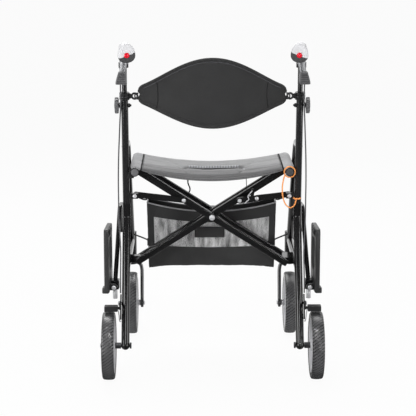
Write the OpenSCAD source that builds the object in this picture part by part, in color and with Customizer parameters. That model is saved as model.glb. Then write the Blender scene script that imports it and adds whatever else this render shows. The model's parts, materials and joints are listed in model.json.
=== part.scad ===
/* [Wheels] */
// Outer diameter of all four wheels
wheel_d = 200; // [190:2:210]
// Width of a tyre
tyre_w = 36; // [30:1:40]
// Height of a tyre from its rim to the tread
tyre_h = 20; // [14:1:24]
// Distance between the front and rear axles
wheelbase = 480; // [460:2:500]
// Distance of the rear wheels' middle planes outside the side frames' planes
wheel_out = 48; // [46:1:54]
// Distance that a front wheel trails behind its swivel stem
trail = 30; // [24:1:36]
// Diameter of the wheel axles
axle_d = 10; // [8:0.5:12]
// Number of spokes in a rim
spokes = 6; // [5:1:8]

/* [Side frames] */
// Distance between the middle planes of the two side frames
frame_w = 512; // [508:1:520]
// Outer diameter of the upright sleeve that the handle post slides in
sleeve_d = 21; // [20:0.5:22]
// Wall of the rear leg
leg_wall = 1.4; // [1.2:0.1:2]
// Outer diameter of the front leg and the lower rail
front_d = 22; // [20:0.5:24]
// Wall of the other tubes
tube_wall = 1.4; // [1.2:0.1:1.6]
// Lean of the sleeve towards the rear, in degrees
sleeve_tilt = 7.5; // [6:0.5:9]
// Place of the rear leg's bend behind the middle of the wheelbase
knee_back = 70; // [60:1:80]
// Height of the rear leg's bend
knee_z = 450; // [440:1:460]
// Height of the rear leg's upper end
leg_top = 495; // [490:1:505]
// Height of the sleeve's upper end
sleeve_top = 820; // [810:1:830]
// Height of the front leg's upper run
shoulder_z = 668; // [655:1:680]
// Bend radius of the front leg
shoulder_bend = 55; // [45:1:65]
// Height at which the front leg's axis meets the swivel housing
front_foot_z = 289; // [280:1:296]
// Outer diameter of the swivel housing
housing_d = 32; // [28:1:36]
// Height of the swivel housing's lower end
housing_z = 236; // [230:1:240]
// Length of the swivel housing
housing_h = 94; // [85:1:100]
// Diameter of the swivel stem
stem_d = 12; // [10:0.5:14]

/* [Cross brace] */
// Distance of the lower brace pivots inside the side frames' planes
lug_in = 36.72; // [34:0.02:40]
// Distance of the seat rails inside the side frames' planes
rail_in = 26.6; // [25:0.1:29]
// Slope of the brace bars when open, in degrees
brace_tilt = 32.5; // [32:0.1:33]
// Height of the middle bolt
brace_z = 445; // [435:1:455]
// Height and depth of a brace bar's section
bar = 20; // [16:1:22]
// Distance of the outer pair of bars from the middle plane
outer_bar = 47; // [46:1:50]
// Distance of the inner pair of bars from the middle plane
inner_bar = 22; // [18:1:23]
// Diameter of the pivot pins
pin_d = 10; // [8:0.5:12]
// Diameter of a seat rail
rail_d = 22; // [20:0.5:24]
// Length of a seat rail
rail_len = 258; // [250:2:270]
// Place of a seat rail's rear end behind the middle of the wheelbase
rail_back = 98; // [94:1:98]
// Height of the bolts where the stay links meet the sleeves
link_z = 516; // [508:1:524]
// Length of the left stay link
link_len = 144; // [138:1:150]
// Length of the right stay link up to its lock plate
lock_link = 94; // [88:1:100]
// Length of the lock plate
lock_len = 52; // [46:1:58]

/* [Handles] */
// Outer diameter of the handle post
post_d = 16; // [15:0.5:16.5]
// Height of the handle post's upper corner
handle_z = 975; // [965:1:985]
// Length of the hand end of the post behind its corner
hand_len = 125; // [118:1:132]
// Fall of the hand end towards the rear, in degrees
hand_fall = 10; // [6:1:12]
// Turn of the hand end inward, in degrees
hand_toe = 6; // [3:1:8]
// Length of the post inside its sleeve
post_in = 220; // [200:5:240]
// Bend radius of the post
post_bend = 32; // [28:1:36]
// Height adjustment up and down from the shown place
height_travel = 60; // [40:5:65]
// Height of the clamp knob
knob_z = 792; // [788:1:798]
// Diameter of the clamp knob
knob_d = 48; // [40:1:50]
// Thickness of the clamp knob
knob_t = 13; // [10:1:16]
// Length of a brake lever behind its pivot
lever_len = 104; // [96:1:110]
// Diameter of the brake cables
cable_d = 4; // [3:0.5:5]

/* [Footrests] */
// Distance of the hanger's swing axis from the side frame's plane
hanger_out = 27; // [26:1:32]
// Place of the swing axis ahead of the middle of the wheelbase
hanger_y = 185; // [180:1:190]
// Height of the hanger's upper run
hanger_z = 440; // [436:1:446]
// Outer diameter of the hanger tube
hanger_d = 14; // [12:0.5:15]
// Length of the hanger's upper run
hanger_run = 55; // [50:1:60]
// Reach of the footplate hinge from the swing axis
hanger_reach = 225; // [215:1:235]
// Height of the footplate hinge
hinge_z = 232; // [226:1:238]
// Splay of the stowed hanger, in degrees
splay = 3; // [2:0.5:5]
// Width of a footplate
plate_w = 110; // [100:1:116]
// Length of a footplate
plate_len = 198; // [180:1:205]
// Thickness of a footplate
plate_t = 14; // [10:1:16]

/* [Soft parts] */
// Width of the seat sling in the fore-and-aft direction
seat_depth = 244; // [236:2:248]
// Sag of the seat between its rails
seat_sag = 26; // [18:1:32]
// Thickness of the seat padding
seat_t = 7; // [5:0.5:9]
// Drop of the seat's rear hem at its middle
hem = 18; // [12:1:22]
// Number of stitched channels across the seat
channels = 5; // [3:1:7]
// Distance of the backrest's ends inside the side frames' planes
back_in = 39; // [38:1:46]
// Height of the backrest at its middle
back_h = 200; // [180:2:210]
// Height of the backrest at its ends
back_end = 46; // [40:1:52]
// Thickness of the backrest at its middle
back_t = 24; // [18:1:28]
// Rearward bulge of the backrest
back_bulge = 62; // [50:1:70]
// Distance of the bag's upper corners inside the side frames' planes
bag_in = 57; // [52:1:66]
// Height of the bag at its corners
bag_h = 204; // [190:2:210]
// Depth of the bag
bag_d = 86; // [76:1:90]
// Wall of the bag
bag_wall = 2; // [1.5:0.1:3]

/* [Clearances] */
// Gap between a tube and what is fixed on it
slip = 0.05; // [0.03:0.01:0.08]
// Running gap of pins, axles and stems
run = 0.05; // [0.03:0.01:0.08]
// Gap between faces that move past each other
side_gap = 0.3; // [0.3:0.05:0.6]
// Gap between a brake shoe and its tyre
shoe_gap = 3; // [2.8:0.1:4]

/* [Hidden] */
$fn = 48;

// Heights and places worked out from the sizes above
wheel_r = wheel_d / 2;
rim_r = wheel_r - tyre_h;
axle_r = axle_d / 2;
axle_z = wheel_r;
rear_y = -wheelbase / 2;
front_y = wheelbase / 2;
stem_y = front_y + trail;
hub_half = tyre_w / 2;
hub_r = 20;
frame_x = frame_w / 2;
rear_x = frame_x + wheel_out;
sleeve_r = sleeve_d / 2;
leg_r = sleeve_r + leg_wall + slip;
front_r = front_d / 2;
housing_r = housing_d / 2;
housing_top = housing_z + housing_h;
stem_r = stem_d / 2;
post_r = post_d / 2;
rail_r = rail_d / 2;
pin_r = pin_d / 2;
hanger_r = hanger_d / 2;
head_t = 5;
collar_wall = 4.5;
clamp_r = 3;
fix = 0.03;
shy = 0.06;

// The upright: the sleeve's axis and the rear leg below its bend
up = [0, -sin(sleeve_tilt), cos(sleeve_tilt)];
knee = [frame_x, -knee_back, knee_z];
rear_axle = [frame_x, rear_y, axle_z];
function on_post(z) = knee + up * ((z - knee_z) / up.z);
function on_leg(z) = knee + (rear_axle - knee) * ((knee_z - z) / (knee_z - axle_z));
cap_over = 0.8;
leg_dir = unit(rear_axle - knee);
shoulder_back = 1;

// The front leg, from the sleeve over its shoulder to the swivel housing
shoulder = [frame_x, -shoulder_back, shoulder_z];
front_foot = [frame_x, stem_y, front_foot_z];
function on_front(z) =
  shoulder + (front_foot - shoulder) * ((shoulder_z - z) / (shoulder_z - front_foot_z));
front_path = [on_post(shoulder_z), shoulder, front_foot];

// The cross brace at rest
low_x = frame_x - lug_in;
low_z = brace_z - low_x * tan(brace_tilt);
rail_x = frame_x - rail_in;
rail_z = brace_z + rail_x * tan(brace_tilt);
brace_len = (low_x + rail_x) / cos(brace_tilt);
rail_y = rail_len / 2 - rail_back;
bar_wall = 2.2;
saddle_from = 3;
link_x = frame_x - sleeve_r - 18;
link_y = -(outer_bar + bar / 2 + 2 + 4);
link_t = 4;
link_w = 18;
bolt_r = 4;
bolt_head = 7;

// The handle post and the brake lever
corner = on_post(handle_z);
back = [-sin(hand_toe), -cos(hand_toe) * cos(hand_fall), -cos(hand_toe) * sin(hand_fall)];
hand_end = corner + hand_len * back;
grip_start = 40;
grip_r = 18;
grip_end_r = 24;
grip_cap = 14;
mount_low = 905;
mount_h = 30;
mount_r = 13;
lever_pivot = on_post(mount_low + 17) + [0, -28, 0];
lever_pin_r = 3.5;
lever_half = 10.5;
lever_fall = 17;
ear_half = 4;

// The footrest, in the hanger's own frame: x along its reach, y outwards
swing = [frame_x + hanger_out, hanger_y, 0];
socket_r = hanger_r + 4;
socket_top = hanger_z - hanger_r - 13;
socket_h = 70;
hinge_r = 5;
block_half = 14;
notch_half = 20;
lug_t = 8;
plate_out = 13;
plate_low = 15;
notch_high = 20;
window_low = 50;
window_top = 35;
window_edge = 25;

// The soft parts
wrap_r = rail_r + side_gap;
back_half = frame_x - back_in;
back_z = on_post(sleeve_top + 5).z;
back_y = on_post(back_z).y;
bag_half = frame_x - bag_in;
bag_y = outer_bar + bar / 2 + 5;
bag_top = 466;
tie_high = 8;
tie_low = 113;
cord_r = 2.5;

// Brake cable route on the right side, from the lever to the brake arm: outwards of the upright,
// ahead of it, and the height
function beside_upright(p) = (p.z > knee_z ? on_post(p.z) : on_leg(p.z)) + [p.x, p.y, 0];
cable_route = [for (p = [
  [9, -16.1, 905], [10, -22.4, 880], [10, -27.3, 850], [10, -33.9, 800],
  [13, -32.5, 750], [16, -27.1, 700], [19, -21.7, 650], [21, -18.2, 600],
  [22, -17.2, 555], [22, -20.1, 510], [22, -25.4, 470], [21, -23.3, 430],
  [18, -16.9, 390], [16, -13.4, 350], [16, -12, 310], [16, -8.6, 270],
  [16, 2, 240]
]) beside_upright(p)];
// Elastic fold loop: its free end, from the ring at the rail cap to the sleeve's rear face
loop_tail = [for (p = [
  [-44, -17.9, 572], [-48, -23.1, 548], [-47, -28.8, 520], [-39, -31.9, 496],
  [-25, -30.5, 484], [-12, -23.7, 490], [-5, -16.4, 508], [-2, -13.8, 530], [0, -13.1, 541]
]) beside_upright(p)];
loop_r = 2;
loop_ring = 16;

function unit(v) = v / norm(v);

// Puts a right-hand piece on its side
module on_side(s) {
  if (s < 0) mirror([1, 0, 0]) children();
  else children();
}

// A straight round rod between two points
module rod(a, b, r) {
  v = b - a;
  translate(a) rotate([0, acos(v.z / norm(v)), atan2(v.y, v.x)]) cylinder(r = r, h = norm(v));
}

// A part of a ring that joins two straight rods, set off from them by a seam
module elbow(at, d1, d2, r, bend, seam) {
  turn = acos(d1 * d2);
  trim = seam / bend * 180 / PI;
  inward = unit(d2 - (d1 * d2) * d1);
  c = at - bend * tan(turn / 2) * d1 + bend * inward;
  n = cross(-inward, d1);
  multmatrix([
    [-inward.x, d1.x, n.x, c.x],
    [-inward.y, d1.y, n.y, c.y],
    [-inward.z, d1.z, n.z, c.z],
    [0, 0, 0, 1]
  ]) rotate(trim) rotate_extrude(angle = turn - 2 * trim) translate([bend, 0]) circle(r);
}

// A rod through points, bent at each inner point
module bent_rod(p, r, bend, seam = 0) {
  n = len(p) - 1;
  d = [for (i = [0:n - 1]) unit(p[i + 1] - p[i])];
  t = [for (i = [0:n]) i == 0 || i == n ? 0 : bend * tan(acos(d[i - 1] * d[i]) / 2)];
  for (i = [0:n - 1]) rod(p[i] + t[i] * d[i], p[i + 1] - t[i + 1] * d[i], r);
  for (i = [1:n - 1]) elbow(p[i], d[i - 1], d[i], r, bend, seam);
}

// The same points with both ends drawn out by a length
function drawn_out(p, l) = [
  for (i = [0:len(p) - 1])
    i == 0 ? p[0] - l * unit(p[1] - p[0])
    : i == len(p) - 1 ? p[i] + l * unit(p[i] - p[i - 1])
    : p[i]
];

module bent_tube(p, r, wall, bend, seam) {
  difference() {
    bent_rod(p, r, bend, seam);
    bent_rod(drawn_out(p, 1), r - wall, bend, seam);
  }
}

// A flat shape drawn in y and z, thick along x
module slab(x, t) { translate([x, 0, 0]) rotate([90, 0, 90]) linear_extrude(t) children(); }

// A flat shape drawn in x and z, thick along y
module sheet(y, t) { translate([0, y + t, 0]) rotate([90, 0, 0]) linear_extrude(t) children(); }

// A flat strip with round ends between two points
module strip(a, b, w) {
  v = b - a;
  translate(a) circle(w / 2);
  translate(b) circle(w / 2);
  translate(a) rotate(atan2(v.y, v.x)) translate([0, shy - w / 2]) square([norm(v), w - 2 * shy]);
}

// A thin cord along points, with one ring of corners at each point
module cord(p, r, n) {
  last_i = len(p) - 1;
  dirs = [for (i = [0:last_i]) unit(p[min(i + 1, last_i)] - p[max(i - 1, 0)])];
  rings = [
    for (i = [0:last_i])
      let (a = unit(cross(dirs[i], abs(dirs[i].y) > 0.9 ? [1, 0, 0] : [0, 1, 0])), b = cross(dirs[i], a))
      for (k = [0:n - 1]) p[i] + r * (cos(360 * k / n) * a + sin(360 * k / n) * b)
  ];
  faces = concat(
    [[for (k = [0:n - 1]) k]],
    [for (i = [0:last_i - 1], k = [0:n - 1])
      let (k2 = (k + 1) % n) [i * n + k, (i + 1) * n + k, (i + 1) * n + k2]],
    [for (i = [0:last_i - 1], k = [0:n - 1])
      let (k2 = (k + 1) % n) [i * n + k, (i + 1) * n + k2, i * n + k2]],
    [[for (k = [n - 1:-1:0]) last_i * n + k]]
  );
  polyhedron(rings, faces);
}

// A closed skin over rows of points, each row a closed loop
module skin(rows) {
  m = len(rows);
  n = len(rows[0]);
  polyhedron(
    [for (r = rows) each r],
    concat(
      [[for (k = [0:n - 1]) k]],
      [for (i = [0:m - 2], k = [0:n - 1])
        let (k2 = (k + 1) % n) [i * n + k, (i + 1) * n + k, (i + 1) * n + k2]],
      [for (i = [0:m - 2], k = [0:n - 1])
        let (k2 = (k + 1) % n) [i * n + k, (i + 1) * n + k2, i * n + k2]],
      [[for (k = [n - 1:-1:0]) (m - 1) * n + k]]
    )
  );
}

// Solid outlines of the frame tubes, for cutting what is fixed on them
module sleeve_solid(grow) { rod(on_post(leg_top - 60), on_post(sleeve_top), sleeve_r + grow); }
module rear_leg_solid(grow) {
  rod(on_post(leg_top), knee, leg_r + grow);
  rod(knee, rear_axle, leg_r + grow);
}
module front_leg_solid(grow) {
  bent_rod(front_path, front_r + grow, shoulder_bend);
  translate([frame_x, stem_y, housing_z]) cylinder(r = housing_r + grow, h = housing_h);
}
module lower_rail_solid(grow) {
  rod(on_leg(low_z), on_front(low_z), front_r + grow);
}

// Upright sleeve with the welded lug that carries a stay link
module sleeve() {
  p = on_post(link_z);
  knob = on_post(knob_z);
  color("dimgray") difference() {
    union() {
      rod(on_post(leg_top - 20), on_post(sleeve_top), sleeve_r);
      translate([link_x - bolt_head, p.y - 8, link_z - 8]) cube([frame_x - link_x + bolt_head, 16, 16]);
    }
    rod(on_post(leg_top - 21), on_post(sleeve_top + 1), sleeve_r - tube_wall);
    translate(knob - [30, 0, 0]) rotate([0, 90, 0]) cylinder(r = clamp_r + run, h = 60);
  }
  color("silver") {
    rod([link_x, p.y + 8, link_z], [link_x, link_y + link_t + side_gap, link_z], bolt_r);
    translate([link_x, link_y - side_gap, link_z]) rotate([90, 0, 0]) cylinder(r = bolt_head, h = 2);
    translate([link_x, link_y + link_t + side_gap, link_z])
      rotate([90, 0, 0]) cylinder(r = bolt_r, h = link_t + 2 * side_gap);
  }
}

// Rear leg, bent at its knee, with the axle hole and the brake pivot pin
brake_rise = 13;
brake_pivot = on_leg(wheel_d + brake_rise);
brake_pin_r = 4;
brake_x = frame_x + leg_r + 1.3;
brake_t = 4;
module rear_leg() {
  color("black") difference() {
    union() {
      rear_leg_solid(0);
      for (p = [knee, rear_axle]) translate(p) sphere(leg_r + cap_over);
      translate([frame_x, brake_pivot.y, brake_pivot.z]) rotate([0, 90, 0])
        cylinder(r = brake_pin_r, h = brake_x + brake_t + side_gap - frame_x + 3);
      translate([brake_x + brake_t + side_gap, brake_pivot.y, brake_pivot.z]) rotate([0, 90, 0])
        cylinder(r = bolt_head, h = 3);
    }
    rod(on_post(leg_top + 1), knee, leg_r - leg_wall);
    rod(knee, rear_axle - 30 * leg_dir, leg_r - leg_wall);
    translate(knee) sphere(leg_r - leg_wall + cap_over / 2);
    translate(rear_axle - [30, 0, 0]) rotate([0, 90, 0]) cylinder(r = axle_r + slip, h = 60);
  }
}

// Front leg, bent over its shoulder, welded to the swivel housing
module front_leg() {
  color("black") difference() {
    front_leg_solid(0);
    difference() {
      bent_rod(drawn_out(front_path, 1), front_r - tube_wall, shoulder_bend);
      translate([frame_x, stem_y, 0]) cylinder(r = housing_r, h = housing_top);
    }
    translate([frame_x, stem_y, housing_z - 1]) cylinder(r = stem_r + run, h = housing_h - 5);
    sleeve_solid(fix);
  }
}

// Lower rail between the rear leg and the swivel housing
module lower_rail() {
  color("black") difference() {
    lower_rail_solid(0);
    lower_rail_solid(-tube_wall);
    rear_leg_solid(fix);
    front_leg_solid(fix);
  }
}

// Plastic collar on the sleeve, with the post's bush, the backrest hook and the cap nut
module collar() {
  bush = 14;
  a = on_post(sleeve_top);
  knob = on_post(knob_z);
  color("black") difference() {
    union() {
      difference() {
        union() {
          rod(a - 11 * up, a + 11 * up, sleeve_r + collar_wall);
          translate([back_half + side_gap, a.y - 6, a.z - 8]) cube([frame_x - back_half, 12, 16]);
        }
        rod(a - 40 * up, a, sleeve_r + slip);
      }
      rod(a - bush * up, a + up, sleeve_r - tube_wall - slip);
    }
    rod(a - 41 * up, a + 41 * up, post_r + run);
  }
  color("silver") difference() {
    translate(knob - [sleeve_r + 17, 0, 0]) rotate([0, 90, 0]) cylinder(r = bolt_head, h = 16 + sleeve_r);
    translate(knob - [sleeve_r + 12, 0, 0]) rotate([0, 90, 0]) cylinder(r = clamp_r + run, h = 40);
    sleeve_solid(fix);
  }
}

// Two saddles that the seat rail rests in, one on the sleeve and one on the front leg
module saddles() {
  color("black") for (p = [on_post(rail_z), on_front(rail_z)]) difference() {
    translate([rail_x + saddle_from, p.y - 8, rail_z - rail_r - 8])
      cube([frame_x - rail_x - saddle_from, 16, rail_r + 7]);
    translate([rail_x, p.y - 10, rail_z]) rotate([-90, 0, 0]) cylinder(r = rail_r + side_gap, h = 20);
    sleeve_solid(fix);
    front_leg_solid(fix);
  }
}

// Lug and pin on the lower rail that carry a pair of brace bars
module brace_lug(offset_y) {
  half = offset_y - bar / 2 - 1;
  end = offset_y + bar / 2 + 1;
  color("black") difference() {
    union() {
      translate([low_x, -half, low_z]) rotate([-90, 0, 0]) cylinder(r = bar / 2, h = 2 * half);
      translate([low_x, -half, low_z - bar / 2]) cube([frame_x - low_x, 2 * half, bar]);
    }
    lower_rail_solid(fix);
  }
  color("silver") {
    translate([low_x, -end, low_z]) rotate([-90, 0, 0]) cylinder(r = pin_r, h = 2 * end);
    for (s = [-1, 1]) translate([low_x, s * (end + 1.5) - 1.5, low_z])
      rotate([-90, 0, 0]) cylinder(r = pin_r + 4, h = 3);
  }
}

// Socket clamped to the front leg, in which the footrest hanger swings
module socket() {
  p = on_front(socket_top - 18);
  color("black") difference() {
    union() {
      translate([swing.x, swing.y, socket_top - socket_h]) cylinder(r = socket_r, h = socket_h);
      translate([frame_x, min(p.y, swing.y) - 8, socket_top - 36])
        cube([swing.x - frame_x, abs(p.y - swing.y) + 16, 30]);
    }
    translate([swing.x, swing.y, socket_top - socket_h + 4]) cylinder(r = hanger_r + run, h = socket_h);
    front_leg_solid(fix);
  }
}

// Rear axle bolt with its spacer and outer nut
module axle() {
  x0 = frame_x - leg_r - cap_over - head_t;
  x1 = rear_x + hub_half + side_gap;
  color("silver") translate([0, rear_y, axle_z]) rotate([0, 90, 0]) {
    translate([0, 0, x0]) cylinder(r = axle_r, h = x1 + head_t + 2 - x0);
    translate([0, 0, x0]) cylinder(r = axle_r + 4, h = head_t - slip);
    translate([0, 0, frame_x + leg_r + cap_over + slip])
      cylinder(r = axle_r + 4, h = rear_x - hub_half - side_gap - frame_x - leg_r - cap_over - slip);
    translate([0, 0, x1]) cylinder(r = axle_r + 4, h = head_t);
  }
}

module cable() { color("gray") cord(cable_route, cable_d / 2, 8); }

// Handle post, slotted for the clamp bolt and bent to the rear at its corner
module post() {
  reach = height_travel + clamp_r + 1;
  slot_gap = 0.4;
  color("dimgray") difference() {
    bent_tube([on_post(sleeve_top - post_in), corner, hand_end], post_r, tube_wall, post_bend, fix);
    translate(on_post(knob_z)) rotate([sleeve_tilt, 0, 0])
      cube([60, 2 * (clamp_r + slot_gap), 2 * reach], center = true);
  }
}

// Turns a shape drawn along +z so that it runs along the hand end of the post
module along_hand(s) {
  translate(corner + s * back) rotate([90 + hand_fall, 0, 0]) rotate([0, -hand_toe, 0]) children();
}

// Hand grip that closes over the post's end
module grip() {
  l = hand_len - grip_start;
  color("gray") along_hand(grip_start) rotate_extrude() polygon([
    [post_r + slip, 0], [grip_r - 2, 0], [grip_r, 6], [grip_r - 1, l * 0.45], [grip_r + 2, l * 0.8],
    [grip_end_r, l - 2], [grip_end_r, l + grip_cap - 6], [grip_end_r - 5, l + grip_cap],
    [0, l + grip_cap], [0, l + slip], [post_r + slip, l + slip]
  ]);
}

module reflector() {
  color("red") along_hand(hand_len + grip_cap + slip) cylinder(r1 = 7.5, r2 = 6, h = 3);
}

// Clamp on the post that carries the brake lever and the cable's stop
module lever_mount() {
  a = on_post(mount_low);
  color("black") difference() {
    union() {
      rod(a, a + mount_h * up, mount_r);
      slab(frame_x - ear_half, 2 * ear_half)
        strip([a.y - 6, lever_pivot.z], [lever_pivot.y, lever_pivot.z], 14);
      translate([cable_route[0].x, cable_route[0].y, mount_low + side_gap]) cylinder(r = 6, h = 16);
      translate([lever_pivot.x - lever_half, lever_pivot.y, lever_pivot.z])
        rotate([0, 90, 0]) cylinder(r = lever_pin_r, h = 2 * lever_half);
    }
    rod(a - 40 * up, a + 80 * up, post_r + slip);
  }
}

// Brake lever with its thick hand end
module lever() {
  p = [lever_pivot.y, lever_pivot.z];
  q = p - lever_len * [cos(lever_fall), sin(lever_fall)];
  color("silver") difference() {
    union() {
      slab(frame_x - lever_half, 2 * lever_half) strip(p, q, 12);
      slab(frame_x - lever_half - 5, 2 * lever_half + 10)
        translate(q - [16, 20]) square([30, 36]);
    }
    translate([frame_x - lever_half - 1, p.x, p.y]) rotate([0, 90, 0])
      cylinder(r = lever_pin_r + run, h = 2 * lever_half + 2);
    slab(frame_x - ear_half - side_gap, 2 * (ear_half + side_gap))
      translate(p - [12, 12]) square([40, 24]);
  }
}

// Clamp knob with a scalloped edge, on its bolt
module knob() {
  knob_at = on_post(knob_z);
  x0 = frame_x + sleeve_r + collar_wall + side_gap;
  color("black") difference() {
    translate([x0, knob_at.y, knob_at.z]) rotate([0, 90, 0]) cylinder(r = knob_d / 2, h = knob_t);
    for (k = [0:7]) translate([x0 - 1, knob_at.y, knob_at.z]) rotate([360 * k / 8, 0, 0])
      translate([0, 0, knob_d / 2 + 4]) rotate([0, 90, 0]) cylinder(r = 7, h = knob_t + 2);
  }
  color("silver") translate([frame_x - sleeve_r - 11, knob_at.y, knob_at.z])
    rotate([0, 90, 0]) cylinder(r = clamp_r, h = x0 - frame_x + sleeve_r + 11);
}

// Rubber tyre with a rounded tread
module tyre(x, y) {
  crown = 40;
  color([0.15, 0.15, 0.15]) translate([x, y, axle_z]) rotate([0, 90, 0]) rotate_extrude($fn = 96)
    intersection() {
      translate([rim_r, -tyre_w / 2]) square([tyre_h, tyre_w]);
      translate([wheel_r - crown, 0]) circle(crown);
    }
}

// Spoked rim with its hub
module rim(x, y) {
  ring = 12;
  color("lightgray") translate([x, y, axle_z]) rotate([0, 90, 0]) difference() {
    union() {
      cylinder(r = hub_r, h = 2 * hub_half, center = true);
      difference() {
        cylinder(r = rim_r - fix, h = tyre_w - 6, center = true, $fn = 96);
        cylinder(r = rim_r - ring, h = tyre_w, center = true, $fn = 96);
      }
      for (k = [0:spokes - 1]) rotate(360 * k / spokes)
        translate([hub_r - 6, -7, -5]) cube([rim_r - ring - hub_r + 8, 14, 10]);
    }
    cylinder(r = axle_r + run, h = tyre_w + 10, center = true);
  }
}

// One-sided caster fork with its stem and stub axle
module fork() {
  crown_z = housing_z - 12;
  arm_t = 8;
  arm_x = frame_x - hub_half - 11 - arm_t;
  color("dimgray") {
    translate([frame_x, stem_y, crown_z]) cylinder(r = stem_r, h = housing_top - 8 - crown_z);
    translate([frame_x, stem_y, crown_z]) cylinder(r = housing_r, h = 12 - side_gap);
    translate([arm_x, stem_y - 13, crown_z]) cube([frame_x - arm_x, 26, 9]);
    slab(arm_x, arm_t) {
      polygon([
        [stem_y - 13, crown_z + 9], [stem_y + 13, crown_z + 9], [stem_y + 13, crown_z - 10],
        [front_y + 13, axle_z], [front_y - 13, axle_z], [stem_y - 13, crown_z - 10]
      ]);
      translate([front_y, axle_z]) circle(15);
    }
  }
  color("silver") translate([0, front_y, axle_z]) rotate([0, 90, 0]) {
    translate([0, 0, arm_x - 3]) cylinder(r = axle_r, h = frame_x + hub_half + head_t + 2 - arm_x + 3);
    translate([0, 0, arm_x]) cylinder(r = axle_r + 4, h = frame_x - hub_half - side_gap - arm_x);
    translate([0, 0, frame_x + hub_half + side_gap]) cylinder(r = axle_r + 4, h = head_t);
  }
}

// Brake arm on the rear leg, with the shoe over the tyre
module brake_arm() {
  p = [brake_pivot.y, brake_pivot.z];
  q = [rear_y, wheel_d + shoe_gap + 11];
  color("black") difference() {
    union() {
      slab(brake_x, brake_t) {
        strip(p, q, 12);
        strip(p, p + [-14, -46], 7);
        strip(p, p + [15, 22], 7);
      }
      translate([brake_x, q.x, q.y]) rotate([0, 90, 0]) cylinder(r = 4, h = rear_x - 10 - brake_x);
      translate([rear_x - hub_half + 2, rear_y - 13, wheel_d - 2]) cube([tyre_w - 8, 26, 22 + shoe_gap]);
    }
    translate([brake_x - 1, p.x, p.y]) rotate([0, 90, 0]) cylinder(r = brake_pin_r + run, h = 20);
    translate([rear_x - hub_half, rear_y, axle_z]) rotate([0, 90, 0])
      cylinder(r = wheel_r + shoe_gap, h = tyre_w, $fn = 96);
  }
}

// The hanger's own frame: x away from the swing axis, y outwards, z up
module in_hanger() { translate(swing) rotate(-90 + splay) children(); }

// Footrest hanger: swing pin, upper run, raked tube, hinge block and silver end
module hanger() {
  color("black") in_hanger() {
    bent_rod([
      [0, 0, socket_top - socket_h + 6], [0, 0, hanger_z], [hanger_run, 0, hanger_z],
      [hanger_reach, 0, hinge_z]
    ], hanger_r, 16);
    translate([hanger_reach - block_half, -12, hinge_z - 11]) cube([2 * block_half, 23, 28]);
    rod([hanger_reach - notch_half - lug_t - 8, 0, hinge_z],
      [hanger_reach + notch_half + lug_t + 8, 0, hinge_z], hinge_r);
    for (s = [-1, 1]) translate([hanger_reach + s * (notch_half + lug_t + 7), 0, hinge_z])
      rotate([0, 90, 0]) cylinder(r = 8, h = 4, center = true);
  }
  color("silver") in_hanger() translate([hanger_reach, 0, hinge_z - 42]) cylinder(r = hanger_r, h = 36);
}

// Footplate with an open middle and a notch that clears the hanger's end
module footplate() {
  window = plate_w - 2 * window_edge;
  color([0.25, 0.25, 0.25]) in_hanger() translate([hanger_reach, 0, hinge_z]) difference() {
    union() {
      translate([-plate_w / 2, plate_out, -plate_low]) cube([plate_w, plate_t, plate_len]);
      for (s = [-1, 1]) translate([s * (notch_half + 2 + lug_t / 2), 0, 0]) {
        rotate([0, 90, 0]) cylinder(r = 10, h = lug_t, center = true);
        translate([-lug_t / 2, 0, -10]) cube([lug_t, plate_out + 2, 20]);
      }
    }
    translate([-window / 2, plate_out - 1, window_low])
      cube([window, plate_t + 2, plate_len - plate_low - window_low - window_top]);
    translate([-notch_half, plate_out - 1, -plate_low - 1])
      cube([2 * notch_half, plate_t + 2, plate_low + 1 + notch_high]);
    rotate([0, 90, 0]) cylinder(r = hinge_r + run, h = plate_w, center = true);
  }
}

// The section of a brace bar, hollow and grooved on its wide faces
module bar_section() {
  difference() {
    square(bar, center = true);
    square(bar - 2 * bar_wall, center = true);
    for (s = [-1, 1]) translate([0, s * bar / 2]) square([3, 1.6], center = true);
  }
}

// A pair of brace bars from the lower left pivot to the right seat rail
module bars(offset_y) {
  color("black") for (s = [-1, 1]) difference() {
    translate([-low_x, s * offset_y, low_z]) rotate([0, 90 - brace_tilt, 0])
      translate([0, 0, -bar / 2]) linear_extrude(bar / 2 + brace_len) bar_section();
    for (p = [[-low_x, low_z], [0, brace_z]]) translate([p.x, s * offset_y - bar, p.y])
      rotate([-90, 0, 0]) cylinder(r = pin_r + run, h = 2 * bar);
    translate([rail_x, s * offset_y - bar, rail_z]) rotate([-90, 0, 0])
      cylinder(r = rail_r + fix, h = 2 * bar);
  }
}

// Seat rail on the right, with a cap at each end
module rail() {
  l = rail_len / 2;
  color("black") translate([rail_x, rail_y, rail_z]) rotate([90, 0, 0]) {
    difference() {
      cylinder(r = rail_r, h = 2 * l, center = true);
      cylinder(r = rail_r - tube_wall, h = 2 * l + 2, center = true);
    }
    for (s = [0, 1]) mirror([0, 0, s]) {
      translate([0, 0, l]) cylinder(r = rail_r + 2, h = 8);
      translate([0, 0, l - 12]) cylinder(r = rail_r - tube_wall - slip, h = 14);
    }
  }
}

// Middle bolt of the cross brace with its heads and washers
module brace_bolt() {
  end = outer_bar + bar / 2 + side_gap;
  washer = inner_bar + bar / 2 + side_gap;
  color("silver") translate([0, 0, brace_z]) rotate([90, 0, 0]) {
    cylinder(r = pin_r, h = 2 * end, center = true);
    for (s = [0, 1]) mirror([0, 0, s]) {
      translate([0, 0, end]) cylinder(r = pin_r + 3, h = 4);
      translate([0, 0, washer]) cylinder(r = pin_r + 4, h = outer_bar - bar / 2 - side_gap - washer);
    }
  }
}

// The end of a stay link, on the way from the sleeve's bolt to a brace bar
link_on = 84;
link_bar = [link_on, brace_z + link_on * tan(brace_tilt)];
link_dir = unit(link_bar - [link_x, link_z]);

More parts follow.
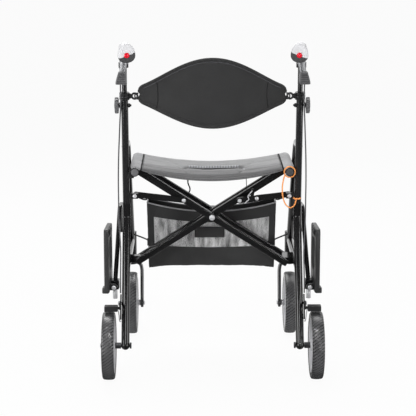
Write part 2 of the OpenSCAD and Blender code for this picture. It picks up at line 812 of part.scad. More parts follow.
// A stay link on the right, with its bolt hole and a bolt head at its far end
module link(l) {
  a = [link_x, link_z];
  b = a + l * link_dir;
  color("black") difference() {
    sheet(link_y, link_t) strip(a, b, link_w);
    translate([a.x, link_y - 1, a.y]) rotate([-90, 0, 0]) cylinder(r = bolt_r + run, h = link_t + 2);
  }
}

module bolt_end(p, y, l) {
  color("silver") translate([p.x, y, p.y]) rotate([90, 0, 0]) cylinder(r = bolt_head, h = l);
}

module left_link() {
  on_side(-1) {
    link(link_len);
    bolt_end([link_x, link_z] + link_len * link_dir, link_y, 3);
  }
}

// The right link carries the pin of the lock plate
module right_link() {
  b = [link_x, link_z] + lock_link * link_dir;
  link(lock_link);
  color("silver") translate([b.x, link_y, b.y]) rotate([90, 0, 0]) {
    cylinder(r = bolt_r, h = link_t + 2 * side_gap);
    translate([0, 0, link_t + 2 * side_gap]) cylinder(r = bolt_head, h = 2);
  }
}

// Lock plate that straightens the right stay and holds the brace open
module lock_plate() {
  a = [link_x, link_z] + lock_link * link_dir;
  b = a + lock_len * link_dir;
  y = link_y - link_t - side_gap;
  color("black") difference() {
    sheet(y, link_t) {
      strip(a, b, link_w);
      strip(a + 0.3 * (b - a), a + 0.3 * (b - a) + [4, 26], 10);
    }
    translate([a.x, y - 1, a.y]) rotate([-90, 0, 0]) cylinder(r = bolt_r + run, h = link_t + 2);
  }
  bolt_end(b, y, 3);
}

// Seat sling: stations along its span, each a point and the direction that faces up
wrap_from = 45;
wrap_to = 100;
wrap_n = 5;
span_n = 28;
span_x = rail_x + wrap_r * cos(wrap_to);
span_z = rail_z + wrap_r * sin(wrap_to);
seat_rows = concat(
  [for (k = [0:wrap_n - 1])
    let (a = 180 - wrap_from - (wrap_to - wrap_from) * k / wrap_n)
    [-rail_x + wrap_r * cos(a), rail_z + wrap_r * sin(a), cos(a), sin(a), 0]],
  [for (k = [0:span_n])
    let (u = -1 + 2 * k / span_n, slope = 2 * seat_sag * u / span_x)
    [span_x * u, span_z - seat_sag * (1 - u * u), -slope / norm([1, slope]), 1 / norm([1, slope]),
      pow(1 - u * u, 0.5)]],
  [for (k = [wrap_n - 1:-1:0])
    let (a = wrap_from + (wrap_to - wrap_from) * k / wrap_n)
    [rail_x + wrap_r * cos(a), rail_z + wrap_r * sin(a), cos(a), sin(a), 0]]
);

// One closed loop round the sling at a station: padded top with channels, then the two hems
function seat_loop(s) =
  let (
    h = seat_depth / 2, cloth = 3, lift = 1.5, soft = min(1, 3 * s[4]), m = 2 * channels,
    drop = hem * pow(s[4], 3),
    profile = concat(
      [[-h + cloth, lift], [-h + cloth, -drop], [-h, -drop], [-h, seat_t - 2.5]],
      [for (k = [0:m])
        [-h + 2 + (2 * h - 4) * k / m, seat_t + soft * ((k % 2 == 0) ? -1.5 : 1.5)]],
      [[h, seat_t - 2.5], [h, -drop / 2], [h - cloth, -drop / 2], [h - cloth, lift]]
    )
  )
  [for (q = profile) [s[0] + q[1] * s[2], rail_y + q[0], s[1] + q[1] * s[3]]];

module seat() { color("gray") skin([for (s = seat_rows) seat_loop(s)]); }

// Backrest: a padded lens with a crown, thin edges and a sewn channel near each end
back_n = 36;
back_seam = 158;
function back_edge(u) = pow(cos(90 * u), 1.3);
function back_loop(u) =
  let (
    x = back_half * u,
    mid = back_z + 10 * back_edge(u),
    half = back_end / 2 + (back_h - back_end) / 2 * back_edge(u),
    y = back_y - back_bulge * (1 - u * u),
    seam = abs(abs(x) - back_seam) < back_half / back_n ? 0.55 : 1,
    t = (8 + (back_t - 8) * sqrt(back_edge(u))) * seam,
    v = [for (k = [0:6]) -1 + k / 3]
  )
  concat(
    [for (k = v) [x, y - 2 - t / 2 * sqrt(1 - 0.85 * k * k), mid + half * k]],
    [for (k = [6:-1:0]) [x, y + 2 + t / 2 * sqrt(1 - 0.85 * v[k] * v[k]), mid + half * v[k]]]
  );

module backrest() { color([0.2, 0.2, 0.2]) skin([for (k = [-back_n:2:back_n]) back_loop(k / back_n)]); }

// Outline of the bag seen from behind, with a sagging top edge
function bag_outline(inset) = concat(
  [[bag_half - 5 - inset, bag_top - bag_h + inset], [bag_half - inset, bag_top + (inset > 0 ? 1 : 0)]],
  inset > 0 ? [] : [for (k = [1:9]) let (u = 1 - k / 5) [bag_half * u, bag_top - 28 * (1 - u * u)]],
  [[-bag_half + inset, bag_top + (inset > 0 ? 1 : 0)], [-bag_half + 5 + inset, bag_top - bag_h + inset]]
);

// Under-seat bag, open at the top, with the elastic cords that tie it to the front legs
module bag() {
  high = on_front(bag_top - tie_high);
  low = on_front(bag_top - tie_low);
  color([0.17, 0.17, 0.17]) {
    difference() {
      sheet(bag_y, bag_d) polygon(bag_outline(0));
      sheet(bag_y + bag_wall, bag_d - 2 * bag_wall) polygon(bag_outline(bag_wall));
    }
    for (s = [-1, 1]) difference() {
      union() {
        on_side(s) rod([bag_half - bag_wall, bag_y + bag_d - 4, high.z], high, cord_r);
        on_side(s) rod([bag_half - bag_wall - 3, bag_y + bag_d - 4, low.z], low, cord_r);
      }
      on_side(s) front_leg_solid(side_gap);
    }
  }
}

// Orange elastic loop that hangs from the right rail's cap and hooks behind the sleeve
module fold_loop() {
  ring = [for (k = [0:11])
    let (a = -150 + 27.5 * (11 - k))
    [rail_x + loop_ring * cos(a), -rail_back - 4, rail_z + loop_ring * sin(a)]];
  color("orange") cord(concat(ring, loop_tail), loop_r, 8);
}

on_side(-1) sleeve();  // left_sleeve
on_side(-1) rear_leg();  // left_rear_leg
on_side(-1) front_leg();  // left_front_leg
on_side(-1) lower_rail();  // left_lower_rail
on_side(-1) collar();  // left_collar
on_side(-1) saddles();  // left_saddles
on_side(-1) brace_lug(inner_bar);  // left_brace_lug
on_side(-1) socket();  // left_socket
on_side(-1) axle();  // left_axle
on_side(-1) cable();  // left_cable
on_side(-1) post();  // left_post
on_side(-1) grip();  // left_grip
on_side(-1) reflector();  // left_reflector
on_side(-1) lever_mount();  // left_lever_mount
on_side(-1) lever();  // left_lever
on_side(-1) knob();  // left_knob
on_side(-1) rim(rear_x, rear_y);  // left_rear_rim
on_side(-1) tyre(rear_x, rear_y);  // left_rear_tyre
on_side(-1) rim(frame_x, front_y);  // left_front_rim
on_side(-1) tyre(frame_x, front_y);  // left_front_tyre
on_side(-1) fork();  // left_fork
on_side(-1) brake_arm();  // left_brake_arm
on_side(-1) hanger();  // left_hanger
on_side(-1) footplate();  // left_footplate
sleeve();  // right_sleeve
rear_leg();  // right_rear_leg
front_leg();  // right_front_leg
lower_rail();  // right_lower_rail
collar();  // right_collar
saddles();  // right_saddles
brace_lug(outer_bar);  // right_brace_lug
socket();  // right_socket
axle();  // right_axle
cable();  // right_cable
post();  // right_post
grip();  // right_grip
reflector();  // right_reflector
lever_mount();  // right_lever_mount
lever();  // right_lever
knob();  // right_knob
rim(rear_x, rear_y);  // right_rear_rim
tyre(rear_x, rear_y);  // right_rear_tyre
rim(frame_x, front_y);  // right_front_rim
tyre(frame_x, front_y);  // right_front_tyre
fork();  // right_fork
brake_arm();  // right_brake_arm
hanger();  // right_hanger
footplate();  // right_footplate
bars(inner_bar);  // bars_a
on_side(-1) bars(outer_bar);  // bars_b
on_side(-1) rail();  // left_rail
rail();  // right_rail
brace_bolt();
left_link();
right_link();
lock_plate();
seat();
backrest();
bag();
fold_loop();
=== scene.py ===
import json
from math import copysign, cos, exp, hypot, pi, radians, sin, sqrt, tan

import bmesh
import bpy
from mathutils import Matrix, Vector, noise


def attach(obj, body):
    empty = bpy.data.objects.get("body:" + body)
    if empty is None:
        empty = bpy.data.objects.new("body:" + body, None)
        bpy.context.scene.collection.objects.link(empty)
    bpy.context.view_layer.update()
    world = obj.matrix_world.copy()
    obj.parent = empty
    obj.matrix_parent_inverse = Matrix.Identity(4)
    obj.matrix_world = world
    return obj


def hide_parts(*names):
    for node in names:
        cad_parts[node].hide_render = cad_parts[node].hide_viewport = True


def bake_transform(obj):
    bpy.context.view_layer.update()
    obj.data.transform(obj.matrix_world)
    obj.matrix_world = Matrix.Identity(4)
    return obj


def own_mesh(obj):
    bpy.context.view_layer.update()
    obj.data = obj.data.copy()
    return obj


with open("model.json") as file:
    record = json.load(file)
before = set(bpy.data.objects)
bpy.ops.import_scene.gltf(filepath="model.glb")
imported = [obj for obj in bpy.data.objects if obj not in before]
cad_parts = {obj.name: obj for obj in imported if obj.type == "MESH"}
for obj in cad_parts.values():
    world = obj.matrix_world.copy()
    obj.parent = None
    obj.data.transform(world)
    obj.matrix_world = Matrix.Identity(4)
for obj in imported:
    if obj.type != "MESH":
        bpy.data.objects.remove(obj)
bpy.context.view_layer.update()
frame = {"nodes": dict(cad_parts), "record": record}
scene = bpy.context.scene
nodes = frame["nodes"]
MM = 0.001
SIDES = (("left", -1), ("right", 1))


def adjust(thing, **settings):
    for key, v in settings.items():
        setattr(thing, key, v)
    return thing


def add(name, data):
    o = bpy.data.objects.new(name, data)
    scene.collection.objects.link(o)
    return o


# Materials, all built from nodes in the object's own coordinates

def feed(t, n, *values, **named):
    """Sets a node's inputs, by order or by name, to values or to other nodes' outputs."""
    for key, v in list(enumerate(values)) + [(key.replace("_", " "), v) for key, v in named.items()]:
        if isinstance(v, bpy.types.NodeSocket):
            t.links.new(v, n.inputs[key])
        else:
            n.inputs[key].default_value = v
    return n


def node(t, kind, *values, **named):
    return feed(t, t.nodes.new("ShaderNode" + kind), *values, **named)


def new_material(name):
    m = bpy.data.materials.new(name)
    m.use_nodes = True
    t = m.node_tree
    t.nodes.clear()
    b = node(t, "BsdfPrincipled")
    node(t, "OutputMaterial", b.outputs[0])
    return m, t, b, node(t, "TexCoord").outputs["Object"]


def noise_node(t, co, scale, detail=3.0, stretch=None):
    if stretch:
        co = node(t, "Mapping", Vector=co, Scale=stretch).outputs[0]
    return node(t, "TexNoise", Vector=co, Scale=scale, Detail=detail).outputs["Fac"]


def ramp(t, fac, a, b, lo=0.3, hi=0.7):
    r = node(t, "ValToRGB", fac)
    for stop, color, at in zip(r.color_ramp.elements, (a, b), (lo, hi)):
        stop.color = (*color, 1)
        stop.position = at
    return r.outputs[0]


def span(t, fac, lo, hi, first=0.0, last=1.0):
    """Maps first and last to lo and hi, and goes no further."""
    return node(t, "MapRange", Value=fac, From_Min=first, From_Max=last, To_Min=lo, To_Max=hi).outputs[0]


def bump(t, b, height, strength, distance):
    feed(t, b, Normal=node(t, "Bump", Strength=strength, Distance=distance, Height=height).outputs[0])


def calc(t, op, *values):
    n = node(t, "Math", *values)
    n.operation = op
    return n.outputs[0]


def shade(c, k):
    return tuple(min(1, x * k) for x in c)


def hard(name, color, rough, vary, grain, depth, spec, metal=0.0, coat=0.0, stretch=None):
    """Paint, plastic or metal: cloudy colour and gloss, and a fine grain."""
    m, t, b, co = new_material(name)
    cloud = noise_node(t, co, 14, 4, stretch)
    feed(t, b, Base_Color=ramp(t, cloud, shade(color, 1 - vary), shade(color, 1 + vary)),
         Roughness=span(t, noise_node(t, co, 40, 3), rough * 0.8, rough * 1.2),
         Metallic=metal, Specular_IOR_Level=spec, Coat_Weight=coat, Coat_Roughness=0.06)
    bump(t, b, noise_node(t, co, grain, 2, stretch), depth, 0.0004)
    return m


def woven(name, color, axes, thread, contrast, rough, sheen, folds, heather, streak=None, painted_shade=None):
    """Woven cloth: threads that cross along two axes, blotchy yarn and soft creases. A streak stretches
    the blotches and makes them stronger, and a painted shade (first, last, share) darkens the cloth along y."""
    m, t, b, co = new_material(name)
    xyz = node(t, "SeparateXYZ", co).outputs
    waves = [calc(t, "SINE", calc(t, "MULTIPLY", xyz[a], 2 * pi / thread)) for a in axes]
    weave = calc(t, "MULTIPLY", *waves)
    yarn = noise_node(t, co, 700, 2)
    blotch = noise_node(t, co, 18, 4, streak)
    much, lo, hi = (1.2, 0.72, 0.98) if streak else (0.5, 0.25, 0.75)
    mix = calc(t, "MULTIPLY", weave, contrast * 0.5)
    mix = calc(t, "ADD", mix, calc(t, "MULTIPLY", yarn, 0.5))
    mix = calc(t, "ADD", mix, calc(t, "MULTIPLY", blotch, much))
    cloth = ramp(t, mix, shade(color, 1 - heather), shade(color, 1 + heather), lo, hi)
    if painted_shade:
        first, last, share = painted_shade
        painted_shade_node = node(t, "VectorMath", cloth)
        painted_shade_node.operation = "SCALE"
        cloth = feed(t, painted_shade_node, Scale=span(t, xyz[1], share, 1.0, first, last)).outputs[0]
    feed(t, b, Base_Color=cloth, Roughness=rough, Specular_IOR_Level=0.2,
         Sheen_Weight=sheen, Sheen_Roughness=0.4)
    bump(t, b, calc(t, "ADD", calc(t, "MULTIPLY", weave, 0.15), blotch), folds, 0.002)
    return m


MAT = {}
# name, colour, roughness, cloudiness, grain and its depth, specular level
for name, *values, more in (
    ("gloss_black_tube", (0.005, 0.005, 0.0054), 0.11, 0.3, 500, 0.03, 0.85, {}),
    ("graphite_tube", (0.014, 0.014, 0.015), 0.16, 0.15, 700, 0.04, 0.85, {"stretch": (1, 1, 0.06)}),
    ("black_plastic", (0.017, 0.017, 0.018), 0.42, 0.15, 1400, 0.3, 0.25, {}),
    ("grey_plastic", (0.67, 0.67, 0.687), 0.42, 0.04, 1200, 0.2, 0.3, {}),
    ("dark_grip", (0.06, 0.06, 0.062), 0.6, 0.12, 1500, 0.5, 0.3, {}),
    ("knob_plastic", (0.13, 0.13, 0.135), 0.45, 0.1, 1400, 0.3, 0.3, {}),
    ("plate_plastic", (0.04, 0.04, 0.041), 0.36, 0.15, 1100, 0.3, 0.35, {}),
    ("rim_plastic", (0.6, 0.6, 0.62), 0.35, 0.06, 900, 0.15, 0.4, {}),
    ("steel", (0.72, 0.72, 0.74), 0.32, 0.06, 600, 0.08, 0.5, {"metal": 0.45}),
    ("dark_steel", (0.06, 0.06, 0.064), 0.3, 0.1, 700, 0.08, 0.5, {"metal": 0.6}),
    ("fork_alloy", (0.035, 0.035, 0.037), 0.32, 0.1, 700, 0.08, 0.5, {"metal": 0.3}),
    ("lever_alloy", (0.15, 0.155, 0.165), 0.4, 0.08, 700, 0.1, 0.5, {"metal": 0.3, "stretch": (1, 0.05, 1)}),
    ("tyre_rubber", (0.085, 0.085, 0.088), 0.13, 0.3, 1300, 0.1, 0.9, {}),
    # tyre_groove is painted shade for the insides of the tread grooves
    ("tyre_groove", (0.006, 0.006, 0.0065), 0.7, 0.2, 1300, 0.3, 0.1, {}),
    ("orange_elastic", (0.95, 0.36, 0.1), 0.55, 0.06, 1500, 0.4, 0.3, {}),
    ("red_reflector", (0.78, 0.01, 0.03), 0.12, 0.1, 2200, 0.5, 0.5, {"coat": 0.3}),
    ("cable_jacket", (0.08, 0.08, 0.085), 0.4, 0.06, 1200, 0.2, 0.4, {}),
    ("dark_thread", (0.07, 0.07, 0.075), 0.7, 0.1, 2500, 0.4, 0.2, {}),
    ("pale_thread", (0.72, 0.74, 0.78), 0.6, 0.08, 2500, 0.4, 0.3, {}),
    ("black_cord", (0.012, 0.012, 0.0125), 0.7, 0.15, 2500, 0.4, 0.2, {}),
):
    MAT[name] = hard(name, *values, **more)
# name, colour, axes, thread, contrast, roughness, sheen, depth of the folds, spread of the yarn
for name, *values, more in (
    # the seat cloth carries painted shade: darker along y towards the near hem, down to about half
    ("seat_fabric", (0.33, 0.33, 0.335), (0, 1), 0.0022, 0.4, 0.62, 0.15, 0.3, 0.14,
     {"painted_shade": (-0.04, 0.004, 0.48)}),
    ("band_fabric", (0.36, 0.36, 0.37), (0, 1), 0.003, 0.6, 0.7, 0.2, 0.35, 0.2, {}),
    ("back_fabric", (0.03, 0.03, 0.0305), (0, 2), 0.0018, 0.3, 0.62, 0.2, 0.2, 0.15, {}),
    ("bag_fabric", (0.045, 0.045, 0.0455), (0, 2), 0.002, 0.3, 0.8, 0.04, 0.3, 0.18, {}),
    ("bag_mesh", (0.46, 0.46, 0.462), (0, 2), 0.003, 0.6, 0.75, 0.1, 0.5, 0.85, {"streak": (2.8, 1, 0.8)}),
    ("piping", (0.33, 0.33, 0.34), (0, 2), 0.002, 0.4, 0.6, 0.25, 0.2, 0.1, {}),
    ("seam_shadow", (0.012, 0.012, 0.0125), (0, 1), 0.002, 0.3, 0.9, 0.02, 0.2, 0.2, {}),
):
    MAT[name] = woven(name, *values, **more)


# Mesh helpers: sizes in millimetres, right-hand pieces mirrored for the left

def mesh_piece(name, verts, faces, mat, side=1, more=()):
    """A smooth mesh of one material, with more to give to single faces."""
    if side < 0:
        faces = [tuple(reversed(f)) for f in faces]
    me = bpy.data.meshes.new(name)
    me.from_pydata([(v[0] * side * MM, v[1] * MM, v[2] * MM) for v in verts], [], faces)
    me.update()
    o = add(name, me)
    for m in (mat, *more):
        me.materials.append(MAT[m])
    for p in me.polygons:
        p.use_smooth = True
    return o


def grid_faces(rows, cols, around=False):
    """Faces between rows of points, closed around each row or not."""
    faces = []
    for i in range(rows - 1):
        for k in range(cols if around else cols - 1):
            a, b = i * cols + k, i * cols + (k + 1) % cols
            faces.append((a, b, b + cols, a + cols))
    return faces


def turned_faces(steps, n, closed=True):
    """Faces between copies of a profile of n points, turned about an axis in steps."""
    faces = []
    for k in range(steps):
        p, q = k * n, (k + 1) % steps * n
        for i in range(n if closed else n - 1):
            j = (i + 1) % n
            faces.append((p + i, q + i, q + j, p + j))
    return faces


def clean(o, weld=0.0):
    """Turns the faces outward, once points that are closer than weld (in metres) are one."""
    bm = bmesh.new()
    bm.from_mesh(o.data)
    if weld:
        bmesh.ops.remove_doubles(bm, verts=bm.verts, dist=weld)
    bmesh.ops.recalc_face_normals(bm, faces=bm.faces)
    bm.to_mesh(o.data)
    bm.free()
    return o


def crease(o, degrees):
    """Sharpens the edges that bend by more than this."""
    bm = bmesh.new()
    bm.from_mesh(o.data)
    for e in bm.edges:
        e.smooth = not (len(e.link_faces) == 2 and e.calc_face_angle(0) > radians(degrees))
    bm.to_mesh(o.data)
    bm.free()
    return o


def shaped(o, kind, **settings):
    """Adds a modifier and applies it."""
    m = adjust(o.modifiers.new(kind, kind), **settings)
    bpy.context.view_layer.objects.active = o
    bpy.ops.object.modifier_apply(modifier=m.name)


def loft(name, rings, mat, side=1, caps=True, more=()):
    """A skin over rings that have the same number of points."""
    n, last = len(rings[0]), len(rings) - 1
    faces = grid_faces(len(rings), n, True)
    if caps:
        faces += [tuple(reversed(range(n))), tuple(last * n + k for k in range(n))]
    return clean(mesh_piece(name, [p for r in rings for p in r], faces, mat, side, more))


def curve(points, n):
    """Catmull-Rom points along a route."""
    p = [Vector(q) for q in points]
    p = [p[0] * 2 - p[1]] + p + [p[-1] * 2 - p[-2]]
    out = []
    for a, b, c, d in zip(p, p[1:], p[2:], p[3:]):
        for k in range(n):
            u = k / n
            out.append(0.5 * ((2 * b) + (c - a) * u + (2 * a - 5 * b + 4 * c - d) * u * u
                              + (3 * b - a - 3 * c + d) * u ** 3))
    out.append(p[-2])
    return out


def sweep(name, path, section, mat, side=1, caps=True, first=None):
    """Carries a section (points in its own x and y, or a function of the step) along a path."""
    path = [Vector(p) for p in path]
    n = len(path)
    ahead = [(path[min(i + 1, n - 1)] - path[max(i - 1, 0)]).normalized() for i in range(n)]
    ref = Vector(first or ((1, 0, 0) if abs(ahead[0].x) < 0.8 else (0, 1, 0)))
    rings = []
    a = (ref - ahead[0] * ref.dot(ahead[0])).normalized()
    for i in range(n):
        a = (a - ahead[i] * a.dot(ahead[i])).normalized()
        b = ahead[i].cross(a)
        s = section(i / (n - 1)) if callable(section) else section
        rings.append([path[i] + a * q[0] + b * q[1] for q in s])
    return loft(name, rings, mat, side, caps)


def clamp(x):
    return max(0.0, min(1, x))


def spread(a, b, n):
    """Even steps from a to b, both included."""
    return [a + (b - a) * i / n for i in range(n + 1)]


def circle(r, n=12):
    return [(r * cos(2 * pi * k / n), r * sin(2 * pi * k / n)) for k in range(n)]


def hoop(x, y, z, r, n):
    """A closed circle about an axis along y."""
    return [(x + a, y, z + b) for a, b in circle(r, n) + [(r, 0)]]


def arc(x, y, r, first, turn, n):
    """Points on an arc, from its first angle on, in degrees."""
    angles = [radians(first + turn * k / n) for k in range(n + 1)]
    return [(x + r * cos(a), y + r * sin(a)) for a in angles]


def rounded(w, h, r, n=4):
    """Outline of a rectangle with round corners, centred."""
    x, y = w / 2 - r, h / 2 - r
    corners = ((x, y), (-x, y), (-x, -y), (x, -y))
    return [p for i, c in enumerate(corners) for p in arc(*c, r, 90 * i, 90, n)]


def mirrored(half):
    """A profile and its mirror image, which share the last point."""
    return half + [(r, -l) for r, l in half[-2::-1]]


def lathe(name, profile, centre, mat, side=1, steps=64, axis="x", closed=False):
    """Turns a profile of (radius, along) about the x or z axis through centre."""
    verts = []
    for c, s in circle(1, steps):
        for r, l in profile:
            p = (l, r * c, r * s) if axis == "x" else (r * c, r * s, l)
            verts.append(tuple(centre[i] + p[i] for i in range(3)))
    return clean(mesh_piece(name, verts, turned_faces(steps, len(profile), closed), mat, side), 1e-6)


def plate(name, outlines, thick, mat, to_world, bevel=1.0, side=1):
    """A flat plate with round edges from closed outlines, the later ones being holes."""
    cu = bpy.data.curves.new(name, "CURVE")
    adjust(cu, dimensions="2D", fill_mode="BOTH", extrude=(thick / 2 - bevel) * MM,
           bevel_depth=bevel * MM, bevel_resolution=2, offset=-bevel * MM)
    for line in outlines:
        s = cu.splines.new("POLY")
        s.points.add(len(line) - 1)
        for q, p in zip(s.points, line):
            q.co = (p[0] * MM, p[1] * MM, 0, 1)
        s.use_cyclic_u = True
    tmp = add(name + "_c", cu)
    bpy.context.view_layer.update()
    me = bpy.data.meshes.new_from_object(tmp.evaluated_get(bpy.context.evaluated_depsgraph_get()))
    bpy.data.objects.remove(tmp)
    verts = [to_world(v.co.x / MM, v.co.y / MM, v.co.z / MM) for v in me.vertices]
    faces = [tuple(p.vertices) for p in me.polygons]
    bpy.data.meshes.remove(me)
    return crease(clean(mesh_piece(name, verts, faces, mat, side), 2e-6), 35)


def soft_box(name, centre, size, r, mat, side=1, turn=None):
    """A box with round edges, turned about its centre."""
    bm = bmesh.new()
    bmesh.ops.create_cube(bm, size=1)
    bmesh.ops.scale(bm, vec=size, verts=bm.verts)
    bmesh.ops.bevel(bm, geom=list(bm.edges), offset=r, segments=3, profile=0.5, affect="EDGES")
    if turn:
        bmesh.ops.rotate(bm, verts=bm.verts, cent=(0, 0, 0), matrix=turn)
    verts = [Vector(centre) + v.co for v in bm.verts]
    bm.verts.index_update()
    faces = [tuple(v.index for v in f.verts) for f in bm.faces]
    bm.free()
    return crease(clean(mesh_piece(name, verts, faces, mat, side)), 40)


def dome(name, centre, axis, r, h, mat, side=1):
    """A bolt head: a low dome on a short wall, pointing along axis."""
    d = Vector(axis).normalized()
    a = d.orthogonal().normalized()
    b = d.cross(a)
    prof = ((r, -0.2), (r, h * 0.35), (r * 0.93, h * 0.6), (r * 0.7, h * 0.85), (r * 0.35, h), (0.05, h))
    rings = [[Vector(centre) + d * z + (a * c + b * s) * q for c, s in circle(1, 20)] for q, z in prof]
    return loft(name, rings, mat, side)


def join(name, objs):
    for o in bpy.context.selected_objects:
        o.select_set(False)
    for o in objs:
        o.select_set(True)
    bpy.context.view_layer.objects.active = objs[0]
    bpy.ops.object.join()
    o = bpy.context.view_layer.objects.active
    o.name = name
    return o


def stand(o, turn, at, side):
    """Turns a piece that was made upright, and sets it in its place."""
    o.data.transform(turn.to_4x4())
    o.data.transform(Matrix.Translation(Vector((side * at.x, at.y, at.z)) * MM))


def place(o, body, slot, *stands_for):
    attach(o, body)
    if stands_for:
        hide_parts(*stands_for)
    return o


def bolt(name, centre, axis, r, h, body, side=1, mat="steel"):
    place(dome(name, centre, axis, r, h, mat, side), body, mat)


# Camera, light and floor

cam = adjust(bpy.data.cameras.new("cam"), sensor_width=36, lens=127.7)
scene.camera = adjust(add("cam", cam), location=(-0.056, -4.40, 1.362),
                      rotation_euler=(radians(90 - 11.56), 0, radians(-0.58)))
scene.view_settings.view_transform = "Standard"


def backdrop(t, co, near, far, keep):
    """The white backdrop: all of it to the camera, in reflections mostly what lies behind the chair,
    and none as light. Gives its strength, and how much of it covers the surface."""
    ray = node(t, "LightPath").outputs
    back = span(t, node(t, "SeparateXYZ", co).outputs[1], 0.12, 1.0, near, far)
    seen = calc(t, "MAXIMUM", ray["Is Glossy Ray"], ray["Is Transmission Ray"])
    strength = calc(t, "MAXIMUM", ray["Is Camera Ray"], calc(t, "MULTIPLY", seen, back))
    cover = calc(t, "MAXIMUM", calc(t, "MULTIPLY", ray["Is Camera Ray"], keep), seen)
    return strength, cover


AMBIENT = 0.27
world = bpy.data.worlds.new("studio")
scene.world = world
world.use_nodes = True
wt = world.node_tree
strength, cover = backdrop(wt, node(wt, "TexCoord").outputs["Generated"], 0.0, 0.5, 1.0)
ambient = calc(wt, "MULTIPLY", calc(wt, "SUBTRACT", 1.0, cover), AMBIENT)
feed(wt, wt.nodes["Background"], (1, 1, 1, 1), calc(wt, "ADD", strength, ambient))


def area(name, at, to, size, power, tall=None):
    lamp = adjust(bpy.data.lights.new(name, "AREA"), energy=power, size=size)
    if tall:
        adjust(lamp, shape="RECTANGLE", size_y=tall)
    aim = (Vector(to) - Vector(at)).to_track_quat("-Z", "Y")
    adjust(add(name, lamp), location=at, rotation_euler=aim.to_euler())


area("top", (-0.3, 1.7, 2.9), (0, 0, 0.5), 2.2, 72)
area("soft_left", (-2.0, -1.5, 0.75), (0, 0, 0.45), 0.8, 22, 1.6)
area("soft_right", (2.0, -1.2, 0.75), (0, 0, 0.45), 0.6, 13, 1.6)
area("front", (0.1, -3.3, 2.3), (0, 0, 0.4), 0.35, 4)
area("strip_left", (-1.5, -2.6, 0.8), (0, 0, 0.45), 0.1, 10, 1.6)
area("strip_right", (1.2, -2.8, 0.8), (0, 0, 0.45), 0.1, 9, 1.6)
for s, k in SIDES:
    area(s + "_glint", (0.3 * k, -1.55, 2.4), (0.3 * k, -0.3, 0.15), 0.14, 7)
area("low_glint", (-0.7, -3.2, 0.45), (-0.1, -0.3, 0.12), 0.1, 1.6, 0.25)

bm = bmesh.new()
bmesh.ops.create_grid(bm, x_segments=1, y_segments=1, size=30)
me = bpy.data.meshes.new("floor")
bm.to_mesh(me)
bm.free()
floor = add("floor", me)
fm, ft, fb, fco = new_material("floor")
feed(ft, fb, Base_Color=ramp(ft, noise_node(ft, fco, 3), (0.7, 0.7, 0.7), (0.74, 0.74, 0.74)),
     Roughness=0.7, Specular_IOR_Level=0.1)
strength, cover = backdrop(ft, fco, -0.2, 0.8, 0.95)
white = node(ft, "Emission", Strength=strength)
both = node(ft, "MixShader", cover, fb.outputs[0], white.outputs[0])
feed(ft, ft.nodes["Material Output"], both.outputs[0])
me.materials.append(fm)


# The frame's own solids keep their shape and get their finish

for n in frame["record"]["subparts"]:
    me = nodes[n["node"]].data
    me.materials.clear()
    me.materials.append(MAT.get(n["material_slot"], MAT["black_plastic"]))
for s, _ in SIDES:
    nodes[s + "_knob"].data.materials[0] = MAT["knob_plastic"]
    nodes[s + "_axle"].data.materials[0] = MAT["dark_steel"]


# Places that the pieces share, right side, in millimetres

TILT, FALL, TOE = radians(7.5), radians(10), radians(6)
FX, REAR_X, REAR_Y, FRONT_Y, STEM_Y, AXLE_Z = 256, 304, -240, 240, 270, 100
BRACE, CROSS_Z = radians(32.5), 445
KNOB_Z, COLLAR_Z = 792, 820


def on_post(z):
    return Vector((FX, -70 - (z - 450) * tan(TILT), z))


def on_leg(z):
    return Vector((FX, -70 - 170 * (450 - z) / 350, z))


CORNER = on_post(975)
BACK = Vector((-sin(TOE), -cos(TOE) * cos(FALL), -cos(TOE) * sin(FALL)))
OVER = Vector((0, -sin(FALL), cos(FALL)))
OUT = OVER.cross(BACK)


# Wheels

def tyre(name, x, y, side):
    """Tyre with slanted ribs across its tread."""
    ribs, fine, slant, depth = 60, 10, 0.48, 1.5
    steps = ribs * fine
    prof = mirrored([(80.4, -15), (81, -17.2), (86, -18), (91, -17.9), (95, -17.4), (97.6, -15.6),
                     (98.9, -12.5), (99.4, -9), (99.8, -4.5), (100, 0)])
    verts, cut = [], []
    for k in range(steps):
        a = 2 * pi * k / steps
        for r, l in prof:
            wave = sin(ribs * a + side * l * slant)
            if r > 94:
                r -= depth * max(0, wave) ** 0.5
            cut.append(wave > 0.25 and r > 93)
            verts.append((x + l, y + r * cos(a), AXLE_Z + r * sin(a)))
    o = mesh_piece(name, verts, turned_faces(steps, len(prof)), "tyre_rubber", side, ["tyre_groove"])
    # faces inside the tread grooves get tyre_groove, a painted shade
    for f in o.data.polygons:
        if sum(cut[i] for i in f.vertices) >= 3:
            f.material_index = 1
    return clean(o)


def rim(name, x, y, side):
    """Moulded rim: flanged ring, hub and tapered spokes."""
    c = (x, y, AXLE_Z)
    ring = mirrored([(79.6, -16.5), (81.5, -16), (81.5, -14.6), (77, -13.6), (72, -12), (69, -8), (68, 0)])
    ring += mirrored([(74, 15), (67, 11), (66, 0)])
    hub = [(5.2, -17.9), (13, -17.9), (16.5, -16.5), (18.5, -12), (19.5, -4), (19.5, 4), (18.5, 12),
           (16.5, 16.5), (13, 17.9), (5.2, 17.9)]
    parts = [lathe("r", ring, c, "rim_plastic", side, 96, "x", True),
             lathe("h", hub, c, "rim_plastic", side, 48, "x", True)]
    for a, b in circle(1, 6):
        d, e = Vector((0, a, b)), Vector((0, -b, a))
        rings = [[Vector(c) + d * r + e * u + Vector((v, 0, 0)) for u, v in rounded(w, t, 2.6, 3)]
                 for r, w, t in ((17, 17, 17), (26, 13, 12), (40, 10.5, 9), (55, 11.5, 9.5), (64, 15, 12),
                                 (69, 20, 15))]
        parts.append(loft("s", rings, "rim_plastic", side))
    return join(name, parts)


